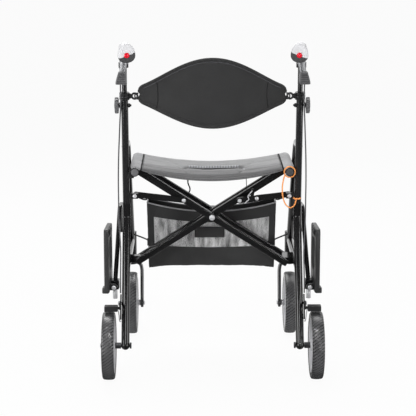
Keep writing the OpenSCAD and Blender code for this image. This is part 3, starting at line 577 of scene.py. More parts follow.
for s, k in SIDES:
    for which, x, y in (("rear", REAR_X, REAR_Y), ("front", FX, FRONT_Y)):
        body = f"{s}_{which}_wheel"
        place(tyre(f"{s}_{which}_tread", x, y, k), body, "tyre_rubber", f"{s}_{which}_tyre")
        place(rim(f"{s}_{which}_spokes", x, y, k), body, "rim_plastic", f"{s}_{which}_rim")


# Caster forks

for s, k in SIDES:
    bend = ((258, 0, 228.5), (246, 0, 228.5), (235, 0, 226.5), (227.5, 1, 220), (224, 4, 208), (223, 9, 190),
            (223, 16, 160), (223, 23, 128), (223, 30, 100), (223, 31.5, 92))
    path = curve([(x, STEM_Y - y, z) for x, y, z in bend], 5)
    arm = sweep("a", path, lambda u: rounded(26 - 3 * u, 7.4, 2.6, 3), "fork_alloy", k, True, (0, 1, 0))
    boss = lathe("b", [(0.1, 218.6), (12, 218.6), (15, 219.6), (15.4, 223), (15, 226.6), (12, 227.4),
                       (0.1, 227.4)], (0, FRONT_Y, AXLE_Z), "fork_alloy", k, 40)
    crown = lathe("c", [(5.9, 223.2), (15, 223.2), (17, 225.5), (17, 232.4), (15.4, 235.4), (5.9, 235.4)],
                  (FX, STEM_Y, 0), "fork_alloy", k, 40, "z", True)
    stem = lathe("t", [(0.1, 224), (6, 224), (6, 321), (0.1, 322)], (FX, STEM_Y, 0), "fork_alloy", k, 24, "z")
    place(join(s + "_fork_arm", [arm, boss, crown, stem]), s + "_caster", "fork_alloy", s + "_fork")
    line = [(0.1, 214), (5.5, 214.4), (8, 216), (8, 218.6), (5, 218.7), (5, 227.4), (9, 227.5), (9, 232),
            (10.5, 233), (10.5, 237.5), (5, 237.7), (5, 274.2), (9, 274.4), (9, 278), (7.5, 280), (0.1, 280.6)]
    place(lathe(s + "_fork_axle", line, (0, FRONT_Y, AXLE_Z), "steel", k, 32), s + "_caster", "steel")


# Handles: grips and reflectors, levers, clamp knobs

# each ring of the grip: along, half width, height above and below its axis
GRIP = [(40, 13.5, 12.5, 12.5), (42, 16, 15, 14.5), (48, 17.5, 17, 15.5), (60, 18, 18.5, 16), (75, 18.5, 20, 16.5),
        (90, 19.5, 22.5, 17), (104, 21, 26.5, 17.8), (116, 23, 31, 18.8), (126, 24.4, 34.5, 19.8),
        (133, 24.8, 35.8, 20.2), (137, 24, 34.8, 19.6), (138.6, 22.2, 32.4, 18), (139.4, 18, 26.5, 14.5),
        (139.7, 13, 19, 10.5), (139.8, 8.5, 12, 7), (139.8, 4, 5, 4), (139.8, 0.4, 0.4, 0.4)]
for s, k in SIDES:
    rings = [[CORNER + BACK * d + OUT * (w * copysign(abs(x) ** 0.9, x)) + OVER * ((up if y > 0 else down) * y)
              for x, y in circle(1, 40)] for d, w, up, down in GRIP]
    g = loft(s + "_hand_grip", rings, "grey_plastic", k, True, ["dark_grip"])
    for p in g.data.polygons:
        c = Vector((abs(p.center.x) / MM, p.center.y / MM, p.center.z / MM)) - CORNER
        if c.dot(OVER) < 1.5 - 0.37 * c.dot(OUT) or c.dot(BACK) < 44:
            p.material_index = 1
    place(g, s + "_handle", "grey_plastic", s + "_grip")
    line = [(0.1, 0), (7.6, 0), (7.6, 1.8), (6.4, 2.8), (4.6, 2.6), (4.2, 3.2), (2.2, 3.6), (1.6, 2.6), (0.1, 2.4)]
    disc = lathe(s + "_reflex_disc", line, (0, 0, 0), "red_reflector", 1, 40, "z")
    turn = Vector((0, 0, 1)).rotation_difference(Vector((k * BACK.x, BACK.y, BACK.z)))
    stand(disc, turn.to_matrix(), CORNER + BACK * 140.2 + OVER * 3, k)
    place(disc, s + "_handle", "red_reflector", s + "_reflector")

LEVER = Vector((FX, -160.14, 922))
LEVER_FALL = radians(17)
ALONG = Vector((0, -cos(LEVER_FALL), -sin(LEVER_FALL)))
ABOVE = Vector((0, -sin(LEVER_FALL), cos(LEVER_FALL)))
for s, k in SIDES:
    body = s + "_brake_lever"
    rings = [[LEVER + ALONG * d + ABOVE * (y + rise) + Vector((x, 0, 0))
              for x, y in rounded(w, t, min(w, t) * 0.3)]
             for d, w, t, rise in ((-6, 20, 8, 0), (-3, 21, 11, 0), (10, 21, 12, 0), (30, 20, 11.5, 1),
                                   (55, 17.5, 10.5, 2), (80, 18, 10.5, 1), (96, 22, 12, 0))]
    arm = crease(loft(s + "_lever_arm", rings, "lever_alloy", k), 40)
    place(arm, body, "grey_plastic", s + "_lever")
    q = LEVER + ALONG * 104
    rings = [[q + Vector((out + x, -1 + y - 0.12 * up, up - 2)) for x, y in rounded(w, deep, 5)]
             for up, w, deep, out in ((17.5, 17, 18, -0.5), (16, 21, 22, -0.5), (9, 24, 27, 0), (0, 27.5, 29, 1),
                                      (-10, 30.5, 29.5, 2.2), (-16, 31, 29, 2.6), (-18.4, 29, 26, 2.8),
                                      (-19, 24, 21, 2.8))]
    place(crease(loft(s + "_lever_tip", rings, "knob_plastic", k), 50), body, "black_plastic")
    ribs = []
    for i in range(6):
        c = q + Vector((2.4 - 0.5 * i, -14.0 - 0.6 * i, -16 + i * 5.2))
        ribs.append(soft_box("rib", c, (25 - 1.6 * i, 2.6, 2.2), 0.8, "dark_grip", k))
    place(join(s + "_lever_ribs", ribs), body, "black_plastic")
    line = [(0.1, 244.2), (4.6, 244.6), (4.6, 245.6), (3.4, 245.7), (3.4, 266.4), (4.6, 266.5), (4.6, 267.4),
            (0.1, 267.8)]
    place(lathe(s + "_lever_pin", line, (0, LEVER.y, LEVER.z), "steel", k, 20), body, "steel")

    kn = on_post(KNOB_Z)
    lobes = [22.6 + 1.4 * cos(8 * (2 * pi * i / 120)) for i in range(120)]
    star = [(r * x, r * y) for r, (x, y) in zip(lobes, circle(1, 120))]
    body = s + "_clamp_knob"
    star_o = plate(s + "_knob_star", [star], 11.4, "knob_plastic",
                   lambda x, y, z: (279.2 + z, kn.y + x, kn.z + y), 2.2, k)
    place(star_o, body, "black_plastic", s + "_knob")
    line = [(0.1, 236), (3, 236.4), (3, 267), (8.5, 267.4), (9, 271.4), (6, 272), (6, 274), (0.1, 274)]
    place(lathe(s + "_knob_bolt", line, (0, kn.y, kn.z), "dark_steel", k, 24), body, "black_plastic")
    bolt(s + "_knob_cap", (284.8, kn.y, kn.z), (1, 0, 0), 9, 1.6, body, k, "black_plastic")


# Collars with their hooks, and the clamp nuts

LEAN = Matrix.Rotation(TILT, 4, "X")
for s, k in SIDES:
    body = s + "_frame"
    c = on_post(COLLAR_Z)
    line = [(8.35, 11), (13.6, 11), (15, 9.6), (15, 4.4), (14, 3.6), (14, -3.6), (15, -4.4), (15, -9.6),
            (13.6, -11), (10.7, -11), (10.7, -0.2), (8.35, -0.2)]
    ring = crease(lathe("ring", line, (0, 0, 0), "black_plastic", 1, 48, "z", True), 30)
    stand(ring, LEAN, c, k)
    lug = plate("lug", [[(-9, -7.5), (-2, -7.5), (3.5, -4), (3.5, 4), (-2, 7.5), (-9, 7.5)]], 10, "black_plastic",
                lambda x, y, z: (236.5 - x, c.y + z, c.z + y), 1.4, k)
    eye = sweep("eye", hoop(226.5, c.y, c.z, 8.2, 28), circle(3.2, 10), "dark_steel", k, False, (0, 1, 0))
    band = plate("band", [[(x * r, y * r) for x, y in circle(1, 48)] for r in (15.6, 14.7)], 3, "dark_steel",
                 lambda x, y, z: (x, y, z), 0.3, 1)
    stand(band, LEAN, c, k)
    place(join(s + "_collar_ring", [ring, lug]), body, "black_plastic", s + "_collar")
    place(join(s + "_collar_eye", [eye, band]), body, "steel")
    bend = ((215, -1, 8.5), (221, -1, 8), (225, 0, 4), (226, 0, 0), (225, 0, -4), (221, -1, -8), (215, -1, -8.5))
    path = curve([(x, c.y + y, c.z + z) for x, y, z in bend], 5)
    place(sweep(s + "_back_ring", path, circle(2.2, 10), "dark_steel", k), body, "steel")
    kn = on_post(KNOB_Z)
    nut = lathe(s + "_clamp_nut", [(0.1, 238.2), (3, 238.4), (5.6, 240), (6.8, 242), (6.8, 245.8), (0.1, 246)],
                (0, kn.y, kn.z), "black_plastic", k, 6)
    place(crease(nut, 30), body, "black_plastic")


# Footrests

SPLAY = radians(-87)
SWING = Vector((283, 185, 0))
HX = Vector((cos(SPLAY), sin(SPLAY), 0))
HY = Vector((-sin(SPLAY), cos(SPLAY), 0))
REACH, HINGE_Z = 225, 232


def in_hanger(x, y, z):
    """A point in the hanger's own frame: out along it, across it, and its height."""
    return SWING + HX * x + HY * y + Vector((0, 0, z))


for s, k in SIDES:
    window = [(p[0], p[1] + 99) for p in rounded(60, 98, 20, 8)]
    line = []
    for x, y in rounded(110, 198, 12, 6):
        y += 84
        line.append((x, y))
        if y < -14.9 and abs(x + 43) < 0.6:
            line += [(-20.5, -15), (-20.5, 17), (-17, 21), (17, 21), (20.5, 17), (20.5, -15)]
    parts = [plate("plate", [line, window], 14, "plate_plastic",
                   lambda x, y, z: in_hanger(REACH + x, 20 + z, HINGE_Z + y), 2.4, k)]
    ear = arc(0, 0, 10, 90, 180, 12)
    for e in (-1, 1):
        parts.append(plate("lug", [ear + [(15, -10), (15, 10)]], 8, "plate_plastic",
                           lambda x, y, z: in_hanger(REACH + e * 26 + z, x, HINGE_Z + y), 1.2, k))
    for i in range(5):
        rib = [in_hanger(REACH + x, 12.6, HINGE_Z + 160 + i * 4.2) for x in (-46, 46)]
        parts.append(sweep("rib", rib, circle(1.1, 8), "plate_plastic", k))
    for e in (-1, 1):
        parts.append(soft_box("rim", in_hanger(REACH + e * 38, 24, 226), (20, 31, 18), 3, "plate_plastic", k,
                              Matrix.Rotation(SPLAY + pi / 2, 3, "Z")))
    place(join(s + "_foot_plate", parts), s + "_plate", "plate_plastic", s + "_footplate")
    foot = in_hanger(REACH, 0, 0)
    peg = lathe(s + "_hanger_peg", [(0.1, 189.2), (5.6, 189.4), (7.25, 191), (7.25, 226), (0.1, 226.1)],
                (foot.x, foot.y, 0), "steel", k, 28, "z")
    place(peg, s + "_footrest", "steel")
    heads = [dome("h", in_hanger(REACH + e * 37.2, 0, HINGE_Z), HX * e, 7, 3, "steel", k) for e in (-1, 1)]
    place(join(s + "_hinge_heads", heads), s + "_footrest", "steel")
    bolt(s + "_socket_cap", in_hanger(0, 0, 350.2), (0, 0, -1), 10.2, 3, s + "_frame", k, "black_plastic")


# Cross brace, and the bolts of its stays

def brace_bars(name, offset, side):
    """A pair of square bars with round edges and a groove along each wide face."""
    corners = rounded(20, 20, 3.2, 4)
    section = []
    for p, q in zip(corners, corners[1:] + corners[:1]):
        section.append(p)
        if (q[0] - p[0]) ** 2 + (q[1] - p[1]) ** 2 > 100:
            d = Vector((q[0] - p[0], q[1] - p[1])).normalized()
            inward = Vector((-d.y, d.x))
            mid = (Vector(p) + Vector(q)) / 2
            for t, depth in ((-2.6, 0), (-1.7, 1.2), (1.7, 1.2), (2.6, 0)):
                section.append(mid + d * t + inward * depth)
    end = [(p[0] * 0.86, p[1] * 0.86) for p in section]
    d = Vector((cos(BRACE), 0, sin(BRACE)))
    u = Vector((0, 1, 0))
    w = d.cross(u)
    parts = []
    for e in (-1, 1):
        start = Vector((0, 0, CROSS_Z)) - d * 270 + Vector((0, e * offset, 0))
        rings = [[start + d * f + u * q[0] + w * q[1] for q in g]
                 for f, g in ((0, end), (1.5, section), (530, section), (531.5, end))]
        parts.append(crease(loft("bar", rings, "gloss_black_tube", side), 30))
    return join(name, parts)


place(brace_bars("brace_bars_a", 22, 1), "brace_a", "gloss_black_tube", "bars_a")
place(brace_bars("brace_bars_b", 47, -1), "brace_b", "gloss_black_tube", "bars_b")
heads = [dome("h", (0, e * 61.2, CROSS_Z), (0, e, 0), 8.5, 4.5, "steel") for e in (-1, 1)]
place(join("brace_bolt_heads", heads), "brace_a", "steel")

NEAR = (0, -1, 0)
LINK = Vector((227.5, 0, 516))
STAY = (Vector((84, 0, CROSS_Z + 84 * tan(BRACE))) - LINK).normalized()
for s, k in SIDES:
    bolt(s + "_stay_bolt", LINK + Vector((3, -86.9, 0)), NEAR, 6.2, 3.4, s + "_frame", k)
far = LINK + STAY * 144
bolt("left_stay_end", (far.x, -65.8, far.z), NEAR, 6.2, 3.2, "left_stay", -1)
mid = LINK + STAY * 94
bolt("right_stay_mid", (mid.x, -69.4, mid.z), NEAR, 6, 3.2, "right_stay")
end = mid + STAY * 52
bolt("lock_bolt", (end.x, -70, end.z), NEAR, 6, 3.2, "lock")
bend = ((-14, -69.5, 24), (-22, -71, 15), (-27, -71, 6), (-24, -71, -2), (-31, -70, -9), (-36, -69.4, -15))
path = curve([(mid.x + x, y, mid.z + z) for x, y, z in bend], 6)
place(sweep("lock_spring", path, circle(1.5, 10), "steel"), "lock", "steel")


# Brakes

PIVOT_Z, SHOE_Z = 213, 214
for s, k in SIDES:
    sole = arc(REAR_Y, AXLE_Z, 106.5, 90 - 7.3, 14.6, 12)
    shoe = plate("shoe", [[(REAR_Y - 12, 220.5), (REAR_Y + 12, 220.5)] + sole], 39, "black_plastic",
                 lambda x, y, z: (296.5 + z, x, y), 1.6, k)
    py = on_leg(PIVOT_Z).y
    line = arc(py, PIVOT_Z, 6.5, -90, 180, 12) + arc(REAR_Y, SHOE_Z, 6, 90, 180, 12)
    parts = [shoe, plate("arm", [line], 4, "black_plastic", lambda x, y, z: (271.25 + z, x, y), 0.8, k)]
    for ends in (((9, 12), (15, 23)), ((-8, -23), (-14, -46))):
        path = curve([(271, py, PIVOT_Z)] + [(271, py + y, PIVOT_Z + z) for y, z in ends], 5)
        parts.append(sweep("pull", path, rounded(7, 4, 1, 2), "black_plastic", k, True, (0, 1, 0)))
    path = [(269.5, REAR_Y, SHOE_Z), (290, REAR_Y, SHOE_Z)]
    parts.append(sweep("cross", path, circle(4, 14), "black_plastic", k))
    place(join(s + "_brake_shoe", parts), s + "_brake", "black_plastic", s + "_brake_arm")
    wire = curve([(278, REAR_Y + 4, 216), (276.5, REAR_Y + 10, 205), (275, -222, 190), (274, -218, 176),
                  (273, -212, 166), (270, -208, 164)], 6)
    place(sweep(s + "_brake_spring", wire, circle(1.5, 10), "steel", k), s + "_brake", "steel")
    bolt(s + "_brake_bolt", (276.6, py, PIVOT_Z), (1, 0, 0), 6.5, 2.6, s + "_frame", k)
    bolt(s + "_axle_cap", (328.6, REAR_Y, AXLE_Z), (1, 0, 0), 8, 0.6, s + "_frame", k)


# Brake cables, from the lever mount to the brake arm

ROUTE = [(265, -146, 905), (266, -149, 880), (266, -150, 850), (266, -150, 800), (269, -142, 750),
         (272, -130, 700), (275, -118, 650), (277, -108, 600), (278, -101, 555), (278, -98, 510),
         (278, -98, 470), (277, -103, 430), (274, -116, 390), (272, -132, 350), (272, -150, 310),
         (272, -166, 270), (272, -170, 240)]


for s, k in SIDES:
    path = curve(ROUTE, 4)
    o = sweep(s + "_brake_cable", path, circle(2), "cable_jacket", k)
    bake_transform(o)
    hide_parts(s + "_cable")
    ferrule = lathe(s + "_cable_stop", [(2, 899), (3.4, 899.4), (3.8, 904), (5, 905.4), (5, 909), (2, 910)],
                    (265, -146, 0), "dark_steel", k, 20, "z", True)
    place(ferrule, s + "_handle", "steel")


# Seat sling

RAIL_ARM, RAIL_Y = 272, 31
RAIL_X, RAIL_Z = RAIL_ARM * cos(BRACE), CROSS_Z + RAIL_ARM * sin(BRACE)
WRAP, WRAP_END = 11.4, radians(100)
SPAN_X, SPAN_Z = RAIL_X + WRAP * cos(WRAP_END), RAIL_Z + WRAP * sin(WRAP_END)
SEAT_HALF, SAG, HEM, SEAM_X, BAND_X = 122, 26, 13, 207.5, 212
SLIT = (-84, 93, 2)


def valley(x, y, a, b, width):
    """1 on the line from a to b, fading to both sides and towards b."""
    ax, ay, bx, by = *a, *b
    dx, dy = bx - ax, by - ay
    t = clamp(((x - ax) * dx + (y - ay) * dy) / (dx * dx + dy * dy))
    d = hypot(x - ax - dx * t, y - ay - dy * t)
    return exp(-(d / width) ** 2) * (1 - t) ** 0.7


def seat_pad(x, y, free):
    """Height of the padded top over the sling's lower face: quilting, waves, creases from the slit's ends,
    the step behind the slit, and the fall towards the near hem."""
    soft = min(1, 3 * free)
    t = (y - RAIL_Y + SEAT_HALF - 1) / (2 * SEAT_HALF - 2)
    edge = sqrt(clamp(9 * min(t, 1 - t)))
    h = 7.6 - soft * 1.3 * max(0, cos(2 * pi * 5 * t)) ** 6
    h += soft * (noise.noise((x * 0.016, y * 0.03, 3.1)) * 2.2
                 + noise.noise((x * 0.05, y * 0.015, 7.7)) * 1.1)
    x0, x1, y0 = SLIT
    for a, b, w in (((x0, y0), (-140, 112), 6.5), ((x1, y0), (150, 116), 6.5), ((x0, y0), (-205, -40), 8),
                    ((x1, y0), (205, -30), 8), ((x0 - 6, y0 - 8), (-66, -88), 6.5),
                    ((x1 + 4, y0 - 10), (70, -88), 6.5)):
        h -= 5.4 * soft * valley(x, y, a, b, w)
    inside = clamp((x - x0 + 12) / 20) * clamp((x1 + 12 - x) / 20)
    step = clamp((y - y0 - 1) / 7)
    h += 4.6 * inside * step * step * (3 - 2 * step) * exp(-(max(0, y - y0 - 8) / 30) ** 2)
    h -= 0.4 * inside * exp(-((y - y0 + 3) / 5) ** 2)
    near = max(0.0, (y0 - 4 - y) / 88)
    return 5 + (h - 5) * edge - soft * 9 * near ** 1.6


def seat_line():
    """Stations along the span: place, facing, and how free the cloth hangs (0 to 1)."""
    def wrapped(e, degrees):
        c, s = cos(radians(degrees)), sin(radians(degrees))
        return e * RAIL_X + WRAP * c, RAIL_Z + WRAP * s, c, s, 0

    rows = [wrapped(-1, 180 - 45 - 55 * i / 8) for i in range(8)]
    for u in spread(-1, 1, 96):
        slope = 2 * SAG * u / SPAN_X
        h = hypot(1, slope)
        rows.append((SPAN_X * u, SPAN_Z - SAG * (1 - u * u), -slope / h, 1 / h, sqrt(max(0, 1 - u * u))))
    return rows + [wrapped(1, 45 + 55 * i / 8) for i in range(7, -1, -1)]


def seat_point(x, y, lift=0.0):
    """A point on top of the sling between its rails."""
    u = x / SPAN_X
    return Vector((x, y, SPAN_Z - SAG * (1 - u * u) + seat_pad(x, y, sqrt(max(0, 1 - u * u))) + lift))


def seat():
    """The sling: hem, padded top and far edge in one skin, with a strip of painted seam shadow beside each side
    band.
    """
    half = SEAT_HALF
    rings = []
    for x, z, nx, nz, free in seat_line():
        drop = HEM * free ** 1.5
        crimp = 1.2 * free * noise.noise((x * 0.06, 2.0, 0.5))
        low_edge = seat_pad(x, RAIL_Y - half + 1, free)
        prof = [(-half + 2.5, v) for v in spread(1.5, -drop, 5)]
        prof.append((-half - 0.5 - 1.0 * free, -drop - 1.4))
        for j in range(1, 9):
            bow = 1.8 * free * sin(pi * j / 9) - 0.9 * exp(-((j - 2) / 0.6) ** 2)
            prof.append((-half - 1 - bow - crimp, -drop + (drop + low_edge) * j / 9))
        prof += [(y, seat_pad(x, RAIL_Y + y, free)) for y in spread(1 - half, half - 1, 84)]
        prof += [(half, v) for v in spread(5, -0.5 * drop, 5)]
        prof += [(half - 2.5, -0.5 * drop), (half - 2.5, 1.5)]
        rings.append([(x + v * nx, RAIL_Y + y, z + v * nz) for y, v in prof])
    o = loft("seat_sling", rings, "seat_fabric", 1, True, ["band_fabric", "seam_shadow"])
    for p in o.data.polygons:
        x = abs(p.center.x) / MM
        p.material_index = 1 if x > BAND_X else 2 if x > SEAM_X else 0
    return o


def hang(o):
    """Bakes a piece's place into its mesh."""
    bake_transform(o)


sling = seat()
x0, x1, y0 = SLIT
rows = []
for dy in (-8.0, -4.4, 0.0, 4.4, 8.0):
    for t in spread(0, 1, 40):
        w = max(0.04, min(1, 7 * t, 7 * (1 - t))) ** 0.6
        rows.append(seat_point(x0 + (x1 - x0) * t, y0 - 5 + dy * w, 0.5))
slit = mesh_piece("seat_slit", rows, grid_faces(5, 41), "seam_shadow")


def stitch(path, r, thread):
    return sweep("stitch", path, circle(r, 6), thread)


dashes, pale = [], []
for i in range(19):
    x = x0 + 14 + i * 8.2
    for e in (-1, 1):
        pale.append(stitch([seat_point(x + 2 + 2 * t * e, y0 + 6 + 4 * t, 0.5 + 0.7 * (1 - t * t))
                            for t in (-1, -0.5, 0, 0.5, 1)], 0.9, "pale_thread"))
for e in (-1, 1):
    for i in range(27):
        y = -76 + i * 8.2
        dashes.append(stitch([seat_point(e * 205.5, y + d, 0.3 + 0.5 * sin(pi * (d + 2.4) / 4.8))
                              for d in (-2.4, 0, 2.4)], 0.6, "dark_thread"))
for i in range(46):
    x = -198 + i * 8.8
    u = x / SPAN_X
    free = sqrt(1 - u * u)
    z = SPAN_Z - SAG * (1 - u * u) - HEM * free ** 1.5 + 3.6
    dashes.append(stitch([(x + d, RAIL_Y - SEAT_HALF - 2.2 - 1.2 * free, z) for d in (-2.5, 0, 2.5)],
                         0.55, "dark_thread"))
for o in (sling, slit, join("seat_stitches", dashes), join("slit_stitches", pale)):
    hang(o)
rivets = [dome("rivet", seat_point(x, y0 - 4, 1.6), (0, -0.8, 1), 4.2, 3.4, "pale_thread")
          for x in (x0 - 4, x1 + 4)]
hang(join("seat_rivets", rivets))
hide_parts("seat")


# Backrest: u and v are shares of its half length and of its half height there

BACK_X, BACK_Z = 217, 825
BACK_Y = on_post(BACK_Z).y


def back_edge(u):
    return max(0.0, cos(pi / 2 * min(1, abs(u)))) ** 1.3


def back_half(u):
    """Half height of the pad, blunt and round at the ends."""
    tip = max(0.0, abs(u) - 0.9) / 0.1
    return (23 + 77 * back_edge(u)) * max(0.05, 1 - tip ** 3) ** 0.5


def back_mid(u):
    return BACK_Z + 10 * back_edge(u)


def back_skin(u):
    """Where the pad's middle sheet lies."""
    return BACK_Y - 62 * (1 - u * u)


def pad_thickness(u, v):
    return (3.4 + 6.2 * sqrt(back_edge(u))) * sqrt(max(0.0, 1 - v * v)) + 0.9


def hollow(u, v):
    """How far the pad's ends are cut in between their two horns."""
    return copysign(11 * max(0.0, 1 - (v / 0.62) ** 2) * max(0.0, (abs(u) - 0.84) / 0.16) ** 1.5, u)


def backrest():
    shares = spread(-1, 1, 28)
    loop = [(-1, v) for v in shares] + [(1, v) for v in shares[::-1]]
    rings = [[(BACK_X * u - hollow(u, v), back_skin(u) + face * pad_thickness(u, v), back_mid(u) + back_half(u) * v)
              for face, v in loop] for u in spread(-0.998, 0.998, 120)]
    return loft("backrest_pad", rings, "back_fabric")


def swell(o, voxel, pressure, cap, pinned):
    """Blows a closed pad up by a short cloth simulation, with its sewn edge held."""
    shaped(o, "REMESH", mode="VOXEL", voxel_size=voxel)
    held = o.vertex_groups.new(name="held")
    for v in o.data.vertices:
        w = pinned(v.co / MM)
        if w > 0:
            held.add([v.index], w, "REPLACE")
    start = [v.co.copy() for v in o.data.vertices]
    cl = o.modifiers.new("cloth", "CLOTH")
    adjust(cl.settings, quality=5, mass=0.25, tension_stiffness=12, compression_stiffness=12, shear_stiffness=6,
           bending_stiffness=0.4, use_pressure=True, uniform_pressure_force=pressure, vertex_group_mass="held")
    cl.settings.effector_weights.gravity = 0
    cl.collision_settings.use_collision = False
    cl.point_cache.frame_start, cl.point_cache.frame_end = 1, 20
    for f in range(1, 21):
        scene.frame_set(f)
    done = bpy.data.meshes.new_from_object(o.evaluated_get(bpy.context.evaluated_depsgraph_get()))
    o.modifiers.remove(cl)
    for v, a in zip(done.vertices, start):
        d = v.co - a
        if d.length > cap * MM:
            v.co = a + d.normalized() * (cap * MM)
    o.data = done
    scene.frame_set(1)
    for p in o.data.polygons:
        p.use_smooth = True


def back_share(p):
    u = max(-1, min(1, p.x / BACK_X))
    return u, (p.z - back_mid(u)) / max(1, back_half(u))


def sewn(p):
    """How firmly the simulation holds a point: wholly near the edge, less and less inside."""
    u, v = back_share(p)
    d = min((1 - abs(v)) * back_half(u), (1 - abs(u)) * BACK_X)
    return 1 if d < 9 else max(0.0, 0.85 - (d - 9) * 0.12)


def seam_x(v):
    """The curved seams near both ends."""
    return 157 + 6 * v * v


pad = backrest()
swell(pad, 0.005, 4.0, 5, sewn)
shaped(pad, "SUBSURF", levels=1, render_levels=1)
for vert in pad.data.vertices:
    p = vert.co / MM
    u, v = back_share(p)
    edge = (1 - abs(v)) * back_half(u)
    depth = 2.0 * exp(-((edge - 9) / 1.8) ** 2) if abs(u) < 0.93 else 0
    depth += 2.4 * exp(-((abs(p.x) - seam_x(v)) / 1.8) ** 2)
    depth -= 0.5 * noise.noise((p.x * 0.02, 1.0, p.z * 0.03))
    d = p.y - back_skin(u)
    if abs(d) > 1.2:
        vert.co.y -= copysign(min(depth, abs(d) - 1.0), d) * MM
place(pad, "backrest_sling", "back_fabric", "backrest")

TIP = 0.985
line = []
for e in (1, -1):
    for i in range(-97, 98, 2):
        u = e * i / 100
        line.append(Vector((BACK_X * u, back_skin(u), back_mid(u) + e * (back_half(u) - 2))))
    for j in range(1, 6):
        v = e * (1 - j / 3)
        line.append(Vector((BACK_X * TIP * e - hollow(TIP * e, v), back_skin(TIP),
                            back_mid(TIP) + v * back_half(TIP))))
welt = sweep("backrest_welt", line + [line[0]], circle(4.6), "back_fabric", 1, False)
rim_line = [(BACK_X * u, back_mid(u) + back_half(u) - 9.5) for u in [i / 100 for i in range(-92, 93, 2)]]
end_lines = [[(e * seam_x(v), back_mid(seam_x(v) / BACK_X) + v * back_half(seam_x(v) / BACK_X))
              for v in [j / 20 for j in range(-18, 17)]] for e in (-1, 1)]
finder = add("finder", pad.data)
bpy.context.view_layer.update()
cords = []
for line, r, lift, mat in ((rim_line, 1.5, -0.3, "dark_thread"), (end_lines[0], 1.1, 0.2, "seam_shadow"),
                           (end_lines[1], 1.1, 0.2, "seam_shadow")):
    on_skin = []
    for x, z in line:
        hit, at, _, _ = finder.ray_cast(Vector((x, -600, z)) * MM, Vector((0, 1, 0)))
        if hit:
            on_skin.append(at / MM + Vector((0, lift, 0)))
    cords.append(sweep("seam", on_skin, circle(r, 8), mat))
bpy.data.objects.remove(finder)
seams = join("backrest_seams", cords)
for o in (welt, seams):
    place(o, "backrest_sling", "back_fabric")
for o in (pad, welt, seams):
    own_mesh(o)


# Bag: half width at the foot and at the top, and heights of its floor, of its sides' foot and of its top

BAG_FOOT, BAG_WIDE, BAG_Z, BAG_SIDE, BAG_TOP = 194, 199, 262, 264, 466
WIN_LOW, WIN_TOP = 0.34, 0.8


def bag_top(x):
    u = min(1, abs(x) / BAG_WIDE)
    return BAG_TOP - 28 * (1 - u * u)


def bag_low(u):
    return BAG_Z + 5 * (1 - abs(u) ** 4) - 3 * abs(u) ** 8


def bag_panel(name, y, face, window):
    """One upright wall of the bag, seen from face (-1 rear, 1 front)."""
    nx, low_rows, win_rows, top_rows = 60, 12, 18, 6
    heights = spread(0, WIN_LOW, low_rows)[:-1] + spread(WIN_LOW, WIN_TOP, win_rows)[:-1]
    heights += spread(WIN_TOP, 1, top_rows)
    verts = []
    for v in heights:
        for u in spread(-1, 1, nx):
            x = (BAG_FOOT + 5 * v) * u
            z = bag_low(u) + (bag_top(x) - bag_low(u)) * v
            sag = sin(pi * min(1, v * 1.05)) * (1 - u ** 4) * 4.0
            w = (noise.noise((x * 0.016, z * 0.006, 1.7 + face)) * 3.2
                 + noise.noise((x * 0.04, z * 0.02, 5.1 + face)) * 1.2)
            edge = min(1, 8 * min(v, 1 - v)) * min(1, 10 * (1 - abs(u)))
            verts.append((x, y + face * (sag + w * edge * 0.8 - 3.2), z))
    o = mesh_piece(name, verts, grid_faces(len(heights), nx + 1), "bag_fabric", 1, ["bag_mesh"])
    for p in o.data.polygons:
        j, i = divmod(p.index, nx)
        if window and low_rows <= j < low_rows + win_rows and 3 <= i < nx - 3:
            p.material_index = 1
    return o


def bag_wall():
    """Sides and bottom of the bag in one strip."""
    line = list(zip(spread(-BAG_WIDE, -BAG_FOOT, 24), spread(BAG_TOP, BAG_SIDE, 24)))
    line += [(BAG_FOOT * u, bag_low(u)) for u in spread(-1, 1, 48)[1:-1]]
    line += zip(spread(BAG_FOOT, BAG_WIDE, 24), spread(BAG_SIDE, BAG_TOP, 24))
    verts = []
    for v in spread(0, 1, 14):
        inward = 3.0 * sin(pi * v)
        for x, z in line:
            w = noise.noise((x * 0.02, v * 2, z * 0.02)) * 1.6
            dx = -copysign(inward, x) if abs(x) > 193.9 else 0
            dz = 0.6 * inward if abs(x) < 193.9 else 0
            verts.append((x + dx, 68.4 + 73.2 * v, z + dz + (w if abs(x) < 190 else 0)))
    return mesh_piece("bag_wall", verts, grid_faces(15, len(line)), "bag_fabric")


rear, front = bag_panel("bag_rear", 65.2, -1, True), bag_panel("bag_front", 144.8, 1, False)
bag = join("bag_pouch_cloth", [rear, front, bag_wall()])
clean(bag, 0.0006)
shaped(bag, "SOLIDIFY", thickness=0.0016, offset=0)
place(bag, "bag_pouch", "bag_fabric", "bag")

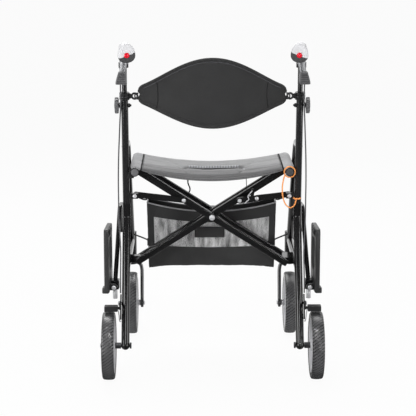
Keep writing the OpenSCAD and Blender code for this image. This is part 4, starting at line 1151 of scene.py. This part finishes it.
edge = [Vector((x, y, bag_top(x) + 0.4))
        for y, steps in ((65.0, range(-198, 199, 9)), (145.0, range(198, -199, -9))) for x in steps]
pipe = sweep("bag_piping", edge + [edge[0]], circle(2.2, 8), "piping", 1, False)
verts = []
for v in spread(0, 1, 8):
    for u in spread(0, 1, 16):
        verts.append((-52 + 92 * u, 59.2 - 0.8 * sin(pi * u) * sin(pi * v), 357 + 33 * v))
patch = mesh_piece("bag_patch", verts, grid_faces(9, 17), "bag_fabric")
shaped(patch, "SOLIDIFY", thickness=0.0014)
cords = []
for k in (-1, 1):
    for z, y_leg, x, rise in ((464, 137, 197, 12), (325, 244, 193, 0)):
        path = curve([(x, 142, z), (x + 14, 0.5 * (142 + y_leg), z - 3), (244.6, y_leg, z + rise)], 6)
        cords.append(sweep("c", path, circle(2.4, 10), "bag_fabric", k))
    cords.append(soft_box("tab", (196, 139, 325), (11, 3, 24), 1.2, "bag_fabric", k))
ties = join("bag_ties", cords)
for o in (pipe, patch, ties):
    place(o, "bag_pouch", "bag_fabric")
for o in (bag, pipe, patch, ties):
    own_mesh(o)


# Elastic that keeps the chair folded, and the ends of the seat rails

ring = sweep("elastic_ring", hoop(RAIL_X, -102, RAIL_Z, 16, 40), circle(2), "orange_elastic", 1, False, (0, 1, 0))
place(ring, "brace_a", "orange_elastic", "fold_loop")
path = curve([(215.5, -102.5, 583), (211.5, -104, 570), (208, -106, 548), (209, -108, 520), (217, -108, 496),
              (231, -105, 484), (244, -99, 490), (250.5, -94.5, 507)], 6)
lo = sweep("elastic_cord", path, circle(2), "orange_elastic")
place(lo, "right_frame", "orange_elastic")
bar = curve([(241.5, -94, 511), (247, -96.5, 509.6), (252, -97, 509), (257.5, -96.8, 509.4),
             (263, -94.5, 510.4)], 4)
place(sweep("elastic_toggle", bar, circle(2.4, 10), "orange_elastic"), "right_frame", "orange_elastic")
for (s, k), body, mat in zip(SIDES, ("brace_b", "brace_a"), ("knob_plastic", "dark_grip")):
    place(dome(s + "_rail_end", (RAIL_X, -105.9, RAIL_Z), NEAR, 11, 2.4, mat, k), body, "black_plastic")


# Strings under the seat

for name, r, points in (
    ("left_string", 2.0, [(-72, -92.5, 566), (-72, -93.5, 558), (-69.5, -94, 550), (-66.5, -94, 543),
                          (-66, -93, 536), (-68, -90, 530), (-69, -82, 526), (-69, -74, 524)]),
    ("right_string", 1.1, [(101, -92.5, 572), (101.4, -93.2, 562), (102, -92.5, 550), (102.6, -90, 539),
                           (103.5, -85, 531), (105, -79, 527)]),
):
    path = curve(points, 4)
    o = sweep(name, path, circle(r, 10), "black_cord")
    hang(o)
